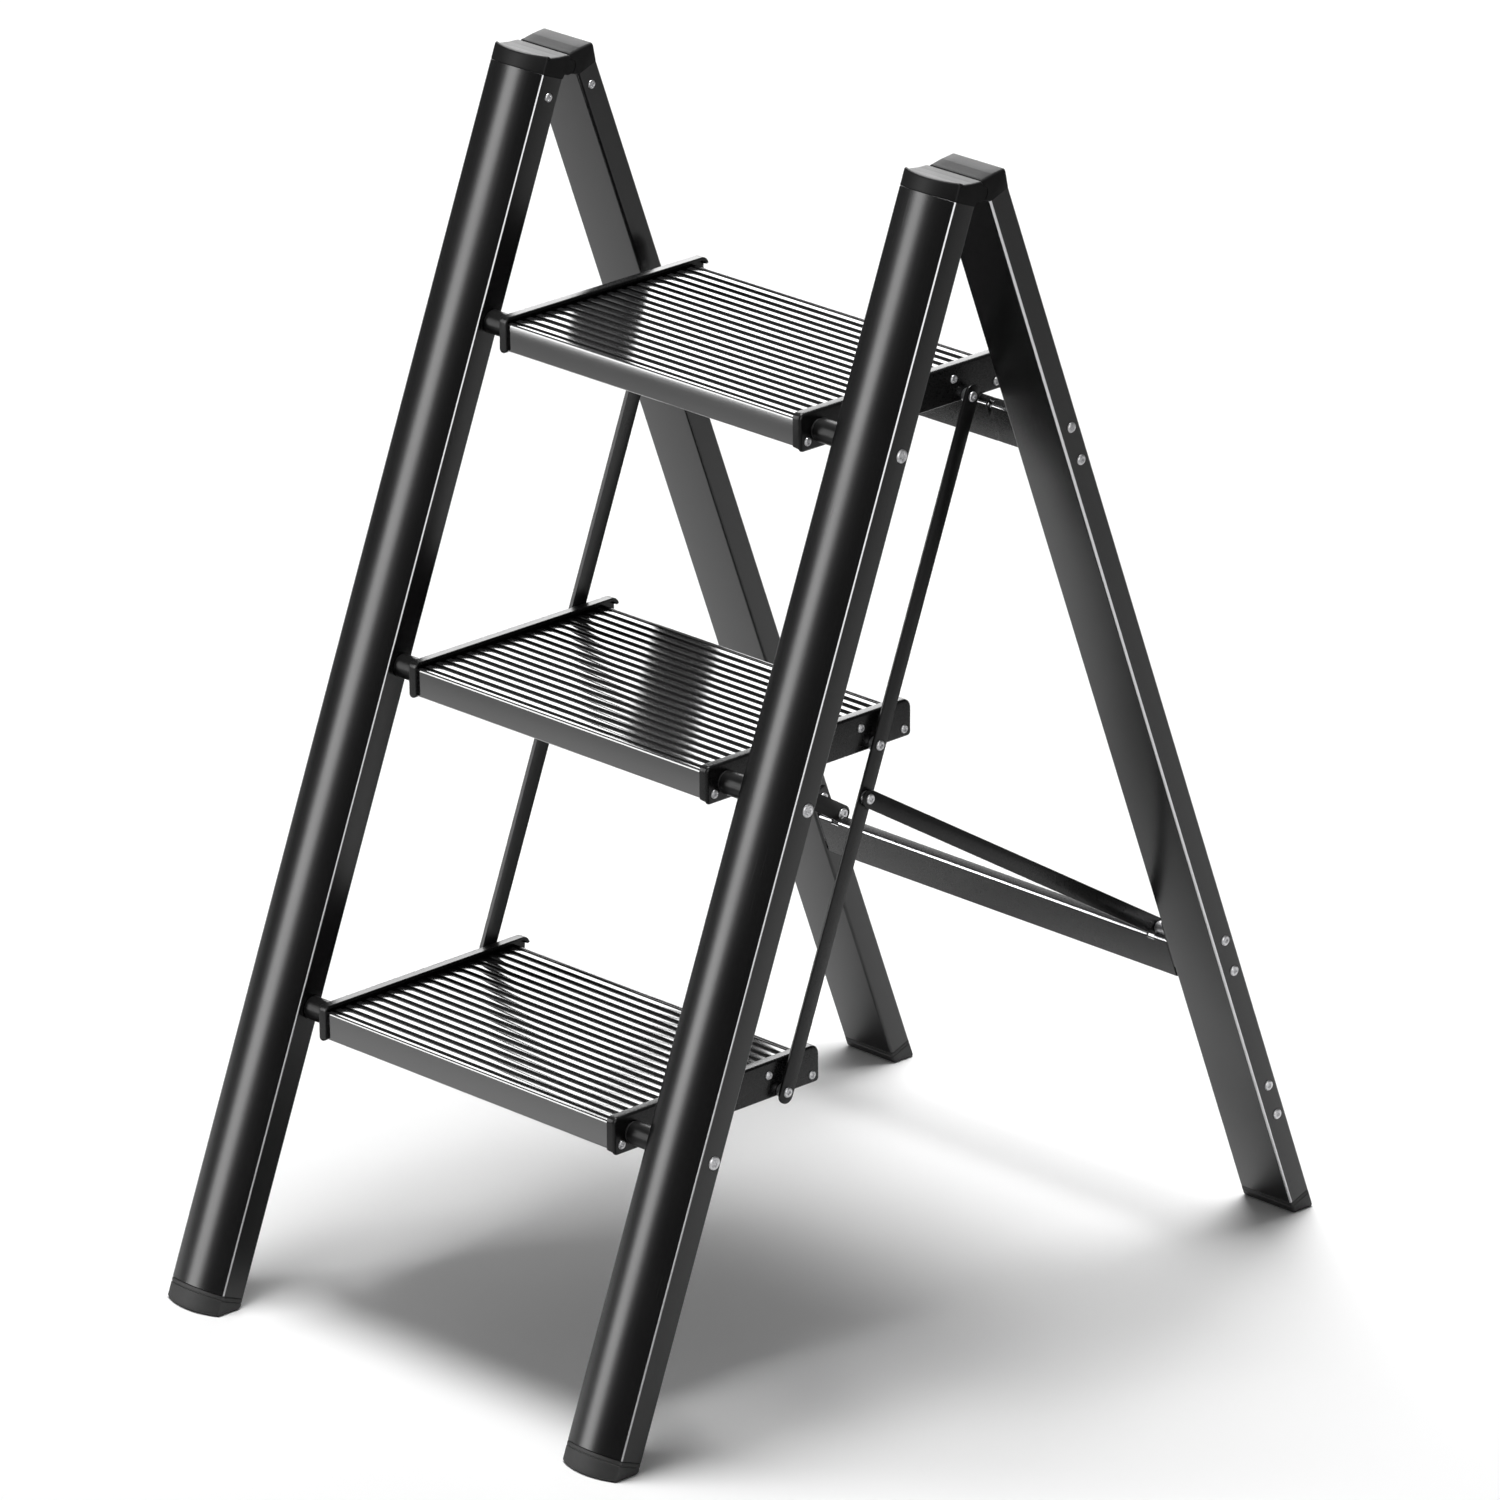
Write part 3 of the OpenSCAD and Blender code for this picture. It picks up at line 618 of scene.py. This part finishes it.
TP = tread_profile()
for i, st in enumerate(("bottom", "middle", "top")):
    py, pz = PIV[i]
    sh = Shape()
    sh.loft([[W(x, py + p[0], pz + p[1]) for p in TP] for x in (-BX0 + 0.02, BX0 - 0.02)])
    # screw bosses of the extrusion
    for q in ((-10.6, -6.2), (124.7, 4.2), (TY1 + 3.6, -6.9)):
        rings = []
        for x, r in ((-BX0 + 0.3, 1.62), (-BX0 + 0.3, 3.3), (BX0 - 0.3, 3.3), (BX0 - 0.3, 1.62)):
            rings.append([W(x, py + q[0] + r * math.cos(2 * math.pi * k / 28), pz + q[1] + r * math.sin(2 * math.pi * k / 28)) for k in range(28)])
        sh.loft(rings, loop=True)
    rib = [(TY1 - 1, -8.2), (TY1 + 1.2, -8.2), (TY1 + 1.2, -5.6), (TY1 - 1, -5.6)]
    sh.loft([[W(x, py + p[0], pz + p[1]) for p in rib] for x in (-BX0 + 0.3, BX0 - 0.3)])
    finish_mesh(st + "_tread_extrusion", sh.v, sh.f, st + "_step", [st + "_tread"], M["tread"], sharp=24)
    # painted shade in the grooves between the ribs: a darker, duller material on the groove faces stands in for the
    # shade that falls in them
    me = bpy.data.objects[st + "_tread_extrusion"].data
    me.materials.append(M["groove"])
    z_hi, z_lo = W(0, py, pz + TZ1 - 0.3)[2], W(0, py, pz + TZ1 - GROOVE - 0.05)[2]
    y_lo, y_hi = W(0, py + TY0 + 4.2, pz)[1], W(0, py + TY1 - 3.35, pz)[1]
    for poly in me.polygons:
        zs = [me.vertices[k].co.z for k in poly.vertices]
        if z_lo < min(zs) and max(zs) < z_hi and y_lo < poly.center.y < y_hi and len(zs) < 5:
            poly.material_index = 1

# ------------------------------------------------------------------ end brackets
def bracket_outline():
    return (arc(BY0 + 4, BZ0 + 4, 4, 180, 270, 8) + arc(BY1 - 3, BZ0 + 3, 3, 270, 360, 6)
            + arc(BY1 - 7, BZ1 - 7, 7, 0, 90, 10) + arc(BY0 + 4, BZ1 - 4, 4, 90, 180, 8))


for i, st in enumerate(("bottom", "middle", "top")):
    py, pz = PIV[i]
    for sx, side in sides():
        sh = Shape()
        ol = bracket_outline()
        flange_in = inset(ol, 2.2)
        # how far each outline point's flange reaches inwards: full on the top and the front, none elsewhere
        depth = []
        for (y, z) in ol:
            k = 0.0
            if z > BZ1 - 5.5:
                k = 1.0
            if y < BY0 + 3 and z > BZ0 + 3:
                k = 1.0
            depth.append(XT if k else BX0)

        def P(x, p):
            return W(sx * x, py + p[0], pz + p[1])

        R = 1.8
        rings = []
        rings.append([P(BX0, p) for p in flange_in])                        # inner face
        rings.append([P(d + (0.0 if d > XT else 0.0), p) for d, p in zip(depth, flange_in)])
        o1 = inset(ol, 2.2 - 0.5)
        o0 = inset(ol, 0.5)
        rings.append([P(d, p) for d, p in zip(depth, o1)])
        rings.append([P(d, p) for d, p in zip(depth, o0)])
        rings.append([P(d + 0.5, p) for d, p in zip(depth, ol)])
        for k in range(6):
            q = math.radians(90 * k / 5)
            o = inset(ol, R * (1 - math.cos(q))) if k else ol
            rings.append([P(BX1 - R + R * math.sin(q), p) for p in o])
        # slight raised rim then flat web face
        sh.loft(rings)
        finish_mesh(f"{st}_bracket_plate_{side}", sh.v, sh.f, st + "_step", [f"{st}_bracket_{side}"], M["bracket"], sharp=30)

# ------------------------------------------------------------------ flat bars
def bar_mesh(name, body, nodes, x0, x1, p0, p1, over0, over1, slot="flat_bar"):
    """A flat bar with rounded ends between two pivots, with eased edges."""
    a, b = Vector(p0), Vector(p1)
    d = (b - a).normalized()
    n = Vector((-d.y, d.x))
    L = (b - a).length
    r = BAR_W / 2
    ol = []
    for (u, v) in arc(0, 0, r, 270, 90, 18):
        ol.append((u - over0, v))
    for (u, v) in arc(L, 0, r, 90, -90, 18):
        ol.append((u + over1, v))
    sh = Shape()
    e = 0.45
    rings = []
    for x, k in ((x0, e), (x0 + e * 0.3, e * 0.3), (x0 + e, 0), (x1 - e, 0), (x1 - e * 0.3, e * 0.3), (x1, e)):
        o = inset(ol, k) if k else ol
        rings.append([W(x, a.x + d.x * u + n.x * v, a.y + d.y * u + n.y * v) for u, v in o])
    sh.loft(rings)
    return finish_mesh(name, sh.v, sh.f, body, nodes, M[slot], sharp=30)


for sx, side in sides():
    l0 = LINK
    l1 = (LINK[0] + 2 * STEP * SA, LINK[1] + 2 * STEP * CA)
    bar_mesh("link_strip_" + side, "link_" + side, ["link_bar_" + side], sx * LX0, sx * LX1, l0, l1, 2, 2)
    bar_mesh("fold_strip_" + side, "fold_bar_" + side, ["fold_bar_" + side], sx * FX0, sx * FX1, D_YZ, E_YZ, 0, 0)


# ------------------------------------------------------------------ hinge caps
def nf(dx):
    """Front face of the stile outline at dx from its middle, with its rounded corners."""
    a, rc = STILE_W / 2, 2.0
    yc = S_CY - math.sqrt((S_R - rc) ** 2 - (a - rc) ** 2)
    d = abs(dx)
    xk = (a - rc) * S_R / (S_R - rc)
    if d <= xk:
        return S_CY - math.sqrt(S_R ** 2 - d ** 2)
    return yc - math.sqrt(max(0.0, rc ** 2 - (d - (a - rc)) ** 2))


def front_cap_profile(dx, e):
    n = nf(dx)
    top = HZ + 11.9 - e
    b0 = uf(S_TOP + 0.05, n + 0.02)
    s_t = (top + n * SA) / CA
    t0 = uf(s_t, n)
    yb, zb = uf(S_TOP + 0.05, N_BACK - 0.1)
    pts = [(b0[0], b0[1], 0.5), (t0[0], t0[1], 1.5), (max(222.0, t0[0] + 3), top, 2.5), (226.5, top - 0.3, 2), (233, top - 1.7, 3), (241, top - 2.7, 3),
           (HY - 0.2 - e, top - 3.0, 1.2)]
    for k in range(13):
        q = math.radians(92 + (214 - 92) * k / 12)
        pts.append((HY + 6.3 * math.cos(q), HZ + 6.3 * math.sin(q), 0))
    pts.append((yb, zb, 0.4))
    return fillet(pts, 5)


def rear_cap_profile(e):
    pts = [(HY + 0.2 + e, HZ + 8.9 - e, 1.2), (HY + 0.2 + e * 0.3, HZ + 6.4, 0)]
    for k in range(1, 13):
        q = math.radians(88 - (88 + 62) * k / 12)
        pts.append((HY + 6.3 * math.cos(q), HZ + 6.3 * math.sin(q), 0))
    f = lf(LEG_TOP + 0.05, LEG_N0 + e)
    g = lf(LEG_TOP + 0.05, LEG_N0 + LD - e)
    pts += [(f[0], f[1], 0.3), (g[0], g[1], 0.3), (HY + 23.6 - e, HZ + 10.0 - e * 0.6, 2.0), (HY + 22.6 - e, HZ + 12.2 - e, 1.6),
            (HY + 11, HZ + 10.9 - e, 5), (HY + 4, HZ + 9.5 - e, 3)]
    return fillet(pts, 5)


for sx, side in sides():
    sh = Shape()
    a = STILE_W / 2
    stations = [(-a + 2 - 2 * math.sin(math.radians(90 - 15 * k)), 1.2 * (1 - math.cos(math.radians(90 - 15 * k)))) for k in range(6)]
    stations += [(-a + 2 + (2 * a - 4) * k / 30, 0.0) for k in range(31)]
    stations += [(-d, e) for d, e in reversed(stations[:6])]
    sh.loft([[W(sx * (XM + d), p[0], p[1]) for p in front_cap_profile(d, e)] for d, e in stations])
    # the centre knuckle, and the plug inside the tube
    sh.revolve([(0, 2.45), (0, 5.3), (0.4, 5.7), (21.0, 5.7), (21.4, 5.3), (21.4, 2.45)], sx * 184.6, HY, HZ, sx)
    web = [uf(S_TOP + 1.0, 0), uf(S_TOP + 1.0, N_BACK - 2), (HY - 1.0, HZ - 5.4), (HY - 1.0, HZ + 5.2), (HY - 5, HZ + 8), (HY - 12, HZ + 6)]
    sh.loft([[W(sx * x, p[0], p[1]) for p in web] for x in (184.7, 205.9)])
    plug = stile_outline(1.65, N_BACK - 1.65, 1.0, 0.6)
    sh.loft([[on_stile(sx, XM + p[0], p[1], s) for p in (plug if k == 0 else inset(plug, 0.6))] for s, k in ((S_TOP + 0.3, 0), (S_TOP - 33, 0), (S_TOP - 34, 1))])
    finish_mesh("front_cap_moulding_" + side, sh.v, sh.f, "front_frame", ["front_cap_" + side], M["cap"], sharp=34)

    sh = Shape()
    w = LO - LI
    st2 = [(LI + 2 - 2 * math.sin(math.radians(90 - 15 * k)), 1.6 * (1 - math.cos(math.radians(90 - 15 * k)))) for k in range(6)]
    st2 += [(LI + 2 + (w - 4) * k / 6, 0.0) for k in range(7)]
    st2 += [(LI + LO - x, e) for x, e in reversed(st2[:6])]
    sh.loft([[W(sx * x, p[0], p[1]) for p in rear_cap_profile(e)] for x, e in st2])
    for x0, x1 in ((LI + 0.1, 184.0), (206.6, LO - 0.1)):
        L = x1 - x0
        for r_in in (2.5,):
            sh.revolve([(0, r_in), (0, 5.4), (0.35, 5.75), (L - 0.35, 5.75), (L, 5.4), (L, r_in)], sx * x0, HY, HZ, sx)
        wb = [(HY + 1.0, HZ + 5.6), (HY + 9, HZ + 8), (HY + 10, HZ - 6), (HY + 1.5, HZ - 5.4)]
        sh.loft([[W(sx * x, p[0], p[1]) for p in wb] for x in (x0 + 0.3, x1 - 0.3)])
    plug = rrect(LI + 1.65, LO - 1.65, LEG_N0 + 1.65, LEG_N0 + LD - 1.65, 1.2)
    sh.loft([[on_leg(sx, p[0], p[1], h) for p in (plug if k == 0 else inset(plug, 0.6))] for h, k in ((LEG_TOP + 0.3, 0), (LEG_TOP - 33, 0), (LEG_TOP - 34, 1))])
    finish_mesh("rear_cap_moulding_" + side, sh.v, sh.f, "rear_frame", ["rear_cap_" + side], M["cap"], sharp=34)


# ------------------------------------------------------------------ fasteners
def head(sh, sx, x0, y, z, r, h, kind, seg=48, flip=1, turn=0.4):
    """A low domed head standing on the plane x0; kind is the drive in its face."""
    o = sx * flip
    rs = [0.0] + [r * k / 22 for k in range(1, 20)] + [r * 0.93, r * 0.985, r]
    rings = []
    for rr in reversed(rs[1:]):
        ring = []
        for k in range(seg):
            t = 2 * math.pi * k / seg
            u, v = rr * math.cos(t - turn), rr * math.sin(t - turn)
            f = rr / r
            hh = h * (1 - 0.14 * f * f - (0.62 * max(0.0, (f - 0.8) / 0.2) ** 2 if f > 0.8 else 0.0))
            if kind == "cross":
                w_ = 0.15 * r
                arm = min(max(abs(u) - w_, 0), max(abs(v) - w_, 0))
                far = max(0.0, max(abs(u), abs(v)) - 0.50 * r)
                d = max(arm, far) / (0.10 * r)
                hh -= 0.85 * h * max(0.0, 1 - d)
            elif kind == "dimple":
                d = max(0.0, (rr - 0.32 * r) / (0.14 * r))
                hh -= 0.85 * h * max(0.0, 1 - d)
            ring.append(W(sx * x0 + o * hh, y + rr * math.cos(t), z + rr * math.sin(t)))
        rings.append(ring)
    base = [W(sx * x0, y + r * math.cos(2 * math.pi * k / seg), z + r * math.sin(2 * math.pi * k / seg)) for k in range(seg)]
    ids = [sh.ring(base)] + [sh.ring(q) for q in rings]
    for p, q in zip(ids, ids[1:]):
        sh.bridge(p, q)
    sh.cap(ids[0])
    sh.cap(ids[-1])


def shank(sh, sx, x0, x1, y, z, r, seg=28):
    L = x1 - x0
    sh.revolve([(0, r - 0.3), (0.3, r), (L - 0.3, r), (L, r - 0.3)], sx * x0, y, z, sx, seg)


def fast(name, sh, body, nodes, sharp=38, slot="fastener"):
    return finish_mesh(name, sh.v, sh.f, body, nodes, M[slot], sharp=sharp)


sh = Shape()
for sx, side in sides():
    for i in range(3):
        y, z = PIV[i]
        head(sh, sx, XO, y, z, 4.8, 1.3, "cross", turn=0.3 + 0.5 * i + (0.2 if sx > 0 else 0))
        shank(sh, sx, BX0 - 5.6, XO + 0.2, y, z, 2.95)
fast("step_bolts_cross_head", sh, "front_frame", ["step_pivot_bolts"])

sh = Shape()
for sx, side in sides():
    y, z = uf(635.1, -2.2)
    head(sh, sx, XI, y, z, 3.1, 1.0, "cross", flip=-1, turn=0.7)
    shank(sh, sx, XI - 0.2, XI + 6, y, z, 1.9)
fast("stile_cap_screws", sh, "front_frame", ["stile_rivets"])

sh = Shape()
for sx, side in sides():
    for r in (199.6, 226.1, 632.6, 658.8):
        y, z = lf(-r, LEG_N0 + 10.8)
        head(sh, sx, LO, y, z, 3.7, 1.3, "dimple")
        head(sh, sx, LI - 1.6, y, z, 3.45, 1.2, "dimple", flip=-1)
        shank(sh, sx, LI - 1.7, LO + 0.2, y, z, 2.35)
    for r in (759.3, 784.6):
        y, z = lf(-r, LEG_N0 + 10.8)
        head(sh, sx, LO, y, z, 3.7, 1.3, "dimple")
        shank(sh, sx, LO - 6, LO + 0.2, y, z, 2.35)
    y, z = lf(-22.9, LEG_N0 + 8.3)
    head(sh, sx, LI, y, z, 3.1, 1.0, "cross", flip=-1, turn=0.2)
    shank(sh, sx, LI - 0.2, LI + 6, y, z, 1.9)
fast("leg_rivets_domed", sh, "rear_frame", ["rear_leg_rivets"])

sh = Shape()
for sx, side in sides():
    y, z = E_YZ
    head(sh, sx, FX0 - 0.2, y, z, 4.2, 1.2, "dimple", flip=-1)
    sh.revolve([(0, 4.2), (0.4, 4.6), (13.7, 4.6), (14.1, 4.2)], sx * (FX1 + 0.35), y, z, sx)
    shank(sh, sx, FX0 - 0.4, LI + 3, y, z, 2.4)
fast("fold_bar_pins_turned", sh, "rear_frame", ["fold_bar_pins"])

for i, st in enumerate(("bottom", "middle", "top")):
    py, pz = PIV[i]
    sh = Shape()
    for sx, side in sides():
        for n_, q in enumerate(((-10.6, -6.2), (124.7, 4.2), (TY1 + 3.6, -6.9))):
            head(sh, sx, BX1, py + q[0], pz + q[1], 3.0, 1.2, "cross", turn=0.5 + 0.7 * n_ + 0.3 * i)
            shank(sh, sx, BX0 - 9, BX1 + 0.2, py + q[0], pz + q[1], 1.5)
    fast(st + "_screws_cross_head", sh, st + "_step", [st + "_bracket_screws"])
    sh = Shape()
    for sx, side in sides():
        y, z = py + LINK[0], pz + LINK[1]
        head(sh, sx, BX0, y, z, 3.6, 1.3, "dimple", flip=-1)
        head(sh, sx, LX1 + 0.2, y, z, 3.6, 1.45, "dimple")
        shank(sh, sx, BX0 - 0.2, LX1 + 0.4, y, z, 2.42)
        sh.revolve([(0, 4.7), (0.3, 5.0), (3.45, 5.0), (3.75, 4.7)], sx * (BX1 + 0.05), y, z, sx)
    fast(st + "_link_rivets", sh, st + "_step", [st + "_link_pivots"])

for sx, side in sides():
    sh = Shape()
    y, z = D_YZ
    head(sh, sx, FX1 + 0.02, y, z, 3.6, 1.4, "dimple")
    shank(sh, sx, LX1 + 0.4, FX1 + 0.2, y, z, 2.35)
    fast("fold_bar_rivet_domed_" + side, sh, "fold_bar_" + side, ["fold_bar_rivet_" + side])

# sleeves on the step bolts: turned tubes with eased ends
sh = Shape()
for sx, side in sides():
    for i in range(3):
        y, z = PIV[i]
        x0, x1 = BX1 + 1.35, XI - 0.02
        prof = [(0, 3.2), (0, 7.55), (0.7, 8.25), (x1 - x0 - 0.5, 8.25), (x1 - x0, 7.75), (x1 - x0, 3.2)]
        rings = [[W(sx * (x0 + d), y + r * math.cos(2 * math.pi * k / 48), z + r * math.sin(2 * math.pi * k / 48)) for k in range(48)] for d, r in prof]
        sh.loft(rings, loop=True)
finish_mesh("step_sleeves_turned", sh.v, sh.f, "front_frame", ["step_pivot_sleeves"], M["sleeve"], sharp=30)


# ------------------------------------------------------------------ cross braces
def brace_profile(f, t, cut=None):
    """(n, h) outline of the channel; cut keeps only what is below that height."""
    pf = LEG_N0 + f
    if cut is None:
        return fillet([(pf, -t, 2.6), (pf, -t - 31.6, 1.6), (pf + 5, -t - 33.0, 0.4), (pf + 5, -t - 31.4, 0.4), (pf + 1.8, -t - 30.2, 0.6),
                       (pf + 1.8, -t - 1.8, 1.0), (pf + 8, -t - 1.8, 0.5), (pf + 8, -t, 0.5)], 6)
    return fillet([(pf, cut, 0.4), (pf, -t - 31.6, 1.6), (pf + 5, -t - 33.0, 0.4), (pf + 5, -t - 31.4, 0.4), (pf + 1.8, -t - 30.2, 0.6),
                   (pf + 1.8, cut, 0.4)], 6)


def brace(name, node, f, t, tab, notch, cut):
    sh = Shape()
    full = brace_profile(f, t)
    n0, n1 = notch
    le = LI - 1.6
    ee = 0.3

    def span(x0, x1, prof):
        sh.loft([[on_leg(1, x, p[0], p[1]) for p in (inset(prof, k) if k else prof)] for x, k in ((x0, ee), (x0 + ee, 0), (x1 - ee, 0), (x1, ee))])

    span(-n0, n0, full)
    for sx in (1, -1):
        a_, b_ = sorted((sx * n1, sx * (le - 0.02)))
        span(a_, b_, full)
        a_, b_ = sorted((sx * (n0 - 0.6), sx * (n1 + 0.6)))
        if cut is not None:
            span(a_, b_, inset(brace_profile(f, t, cut), 0.03))
        else:
            pf = LEG_N0 + f
            pr = fillet([(pf + 0.05, -208, 0.3), (pf + 0.05, -t - 31.5, 1.6), (pf + 5, -t - 32.9, 0.4), (pf + 5, -t - 31.5, 0.4), (pf + 1.75, -t - 30.3, 0.6),
                         (pf + 1.75, -t - 4, 0.5), (pf + 4.4, -t - 1.75, 0.3), (pf + 7.9, -t - 1.75, 0.5), (pf + 7.9, -t - 0.05, 0.5), (pf + 4.2, -t - 0.05, 0.4)], 4)
            span(a_, b_, pr)
        tb = rrect(LEG_N0 + f + 0.1, LEG_N0 + 16.6, -tab[1], -tab[0], 3)
        rings = [[on_leg(sx, x, p[0], p[1]) for p in (inset(tb, k) if k else tb)] for x, k in ((le, 0.35), (le + 0.35, 0), (LI - 0.02, 0))]
        sh.loft(rings)
    return finish_mesh(name, sh.v, sh.f, "rear_frame", [node], M["cross_brace"], sharp=30)


brace("upper_brace_channel", "upper_cross_brace", 4, 195.6, (191, 233), (LX0 - 1.2, LX1 + 1.2), None)
brace("lower_brace_channel", "lower_cross_brace", 1, 642.2, (625, 667), (FX0 - 2.2, FX1 + 2.2), -645.0)


# ------------------------------------------------------------------ floor, lights, camera
def plain_floor():
    me = bpy.data.meshes.new("studio_floor")
    k = 14.0
    me.from_pydata([(-k, -k, 0), (k, -k, 0), (k, k, 0), (-k, k, 0)], [], [(0, 1, 2, 3)])
    o = bpy.data.objects.new("studio_floor", me)
    bpy.context.scene.collection.objects.link(o)
    m = bpy.data.materials.new("pale_floor")
    nt, ns, ln, b = nodes_of(m)
    b.inputs["Base Color"].default_value = (0.9, 0.9, 0.9, 1)
    b.inputs["Roughness"].default_value = 0.6
    b.inputs["Specular IOR Level"].default_value = 0.0
    me.materials.append(m)
    return o


plain_floor()


def area(name, loc, target, sx_, sy_, power, color=(1, 1, 1)):
    li = bpy.data.lights.new(name, "AREA")
    li.shape = "RECTANGLE"
    li.size, li.size_y = sx_, sy_
    li.energy = power
    li.color = color
    o = bpy.data.objects.new(name, li)
    bpy.context.scene.collection.objects.link(o)
    o.location = loc
    o.rotation_euler = (Vector(target) - Vector(loc)).to_track_quat("-Z", "Y").to_euler()
    return o


def direction(az, el):
    """Unit vector from the object; az 0 is the front (-Y), positive towards +X."""
    a, e = math.radians(az), math.radians(el)
    return Vector((math.sin(a) * math.cos(e), -math.cos(a) * math.cos(e), math.sin(e)))


C = Vector((0, 0, 0.42))


def reflector(name, az, el, dist, w_, h_, radiance):
    """A panel that is only there to be mirrored in the gloss; it leaves the floor's shadows alone."""
    o = area(name, C + direction(az, el) * dist, C, w_, h_, radiance * math.pi * w_ * h_)
    o.visible_diffuse = False
    return o


area("key_overhead", (-0.12, 0.06, 2.6), (0.0, 0.0, 0.0), 0.85, 0.85, 65)
area("fill_sky", (-0.6, 0.6, 5.6), (-0.3, 0.3, 0.0), 9.0, 9.0, 68)
area("back_floor", (-2.5, 2.5, 1.9), (-2.5, 2.5, 0.0), 2.8, 2.8, 58)
reflector("strip_front_left", -42, 14, 3.2, 1.0, 2.8, 7.8)
reflector("back_panel", -137, 21, 3.4, 2.7, 1.9, 4.0)
reflector("edge_front_right", 66, 20, 3.0, 3.0, 2.2, 3.0)

w = bpy.data.worlds.new("studio_world")
bpy.context.scene.world = w
w.use_nodes = True
w.node_tree.nodes["Background"].inputs["Color"].default_value = (1, 1, 1, 1)
w.node_tree.nodes["Background"].inputs["Strength"].default_value = 0.12

# camera
AZ, EL, ROLL, DIST = math.radians(45.960246), math.radians(20.575434), math.radians(-0.385576), 8356.7688
TGT = Vector((102.584917, 150.0, 217.781815))
back = Vector((math.sin(AZ) * math.cos(EL), -math.cos(AZ) * math.cos(EL), math.sin(EL)))
fwd = -back
right = fwd.cross(Vector((0, 0, 1))).normalized()
up = right.cross(fwd)
r2 = right * math.cos(ROLL) + up * math.sin(ROLL)
u2 = up * math.cos(ROLL) - right * math.sin(ROLL)
cam = bpy.data.cameras.new("camera")
cam.sensor_fit = "HORIZONTAL"
cam.sensor_width = 36.0
cam.lens = 12604.869 * 36.0 / 1500.0
cam.clip_start = 0.1
cam.clip_end = 60.0
co = bpy.data.objects.new("camera", cam)
bpy.context.scene.collection.objects.link(co)
loc = TGT + back * DIST
co.matrix_world = Matrix.Translation(W(*loc)) @ Matrix((r2, u2, back)).transposed().to_4x4()
bpy.context.scene.camera = co
bpy.context.scene.view_settings.view_transform = "Standard"

bpy.context.view_layer.update()
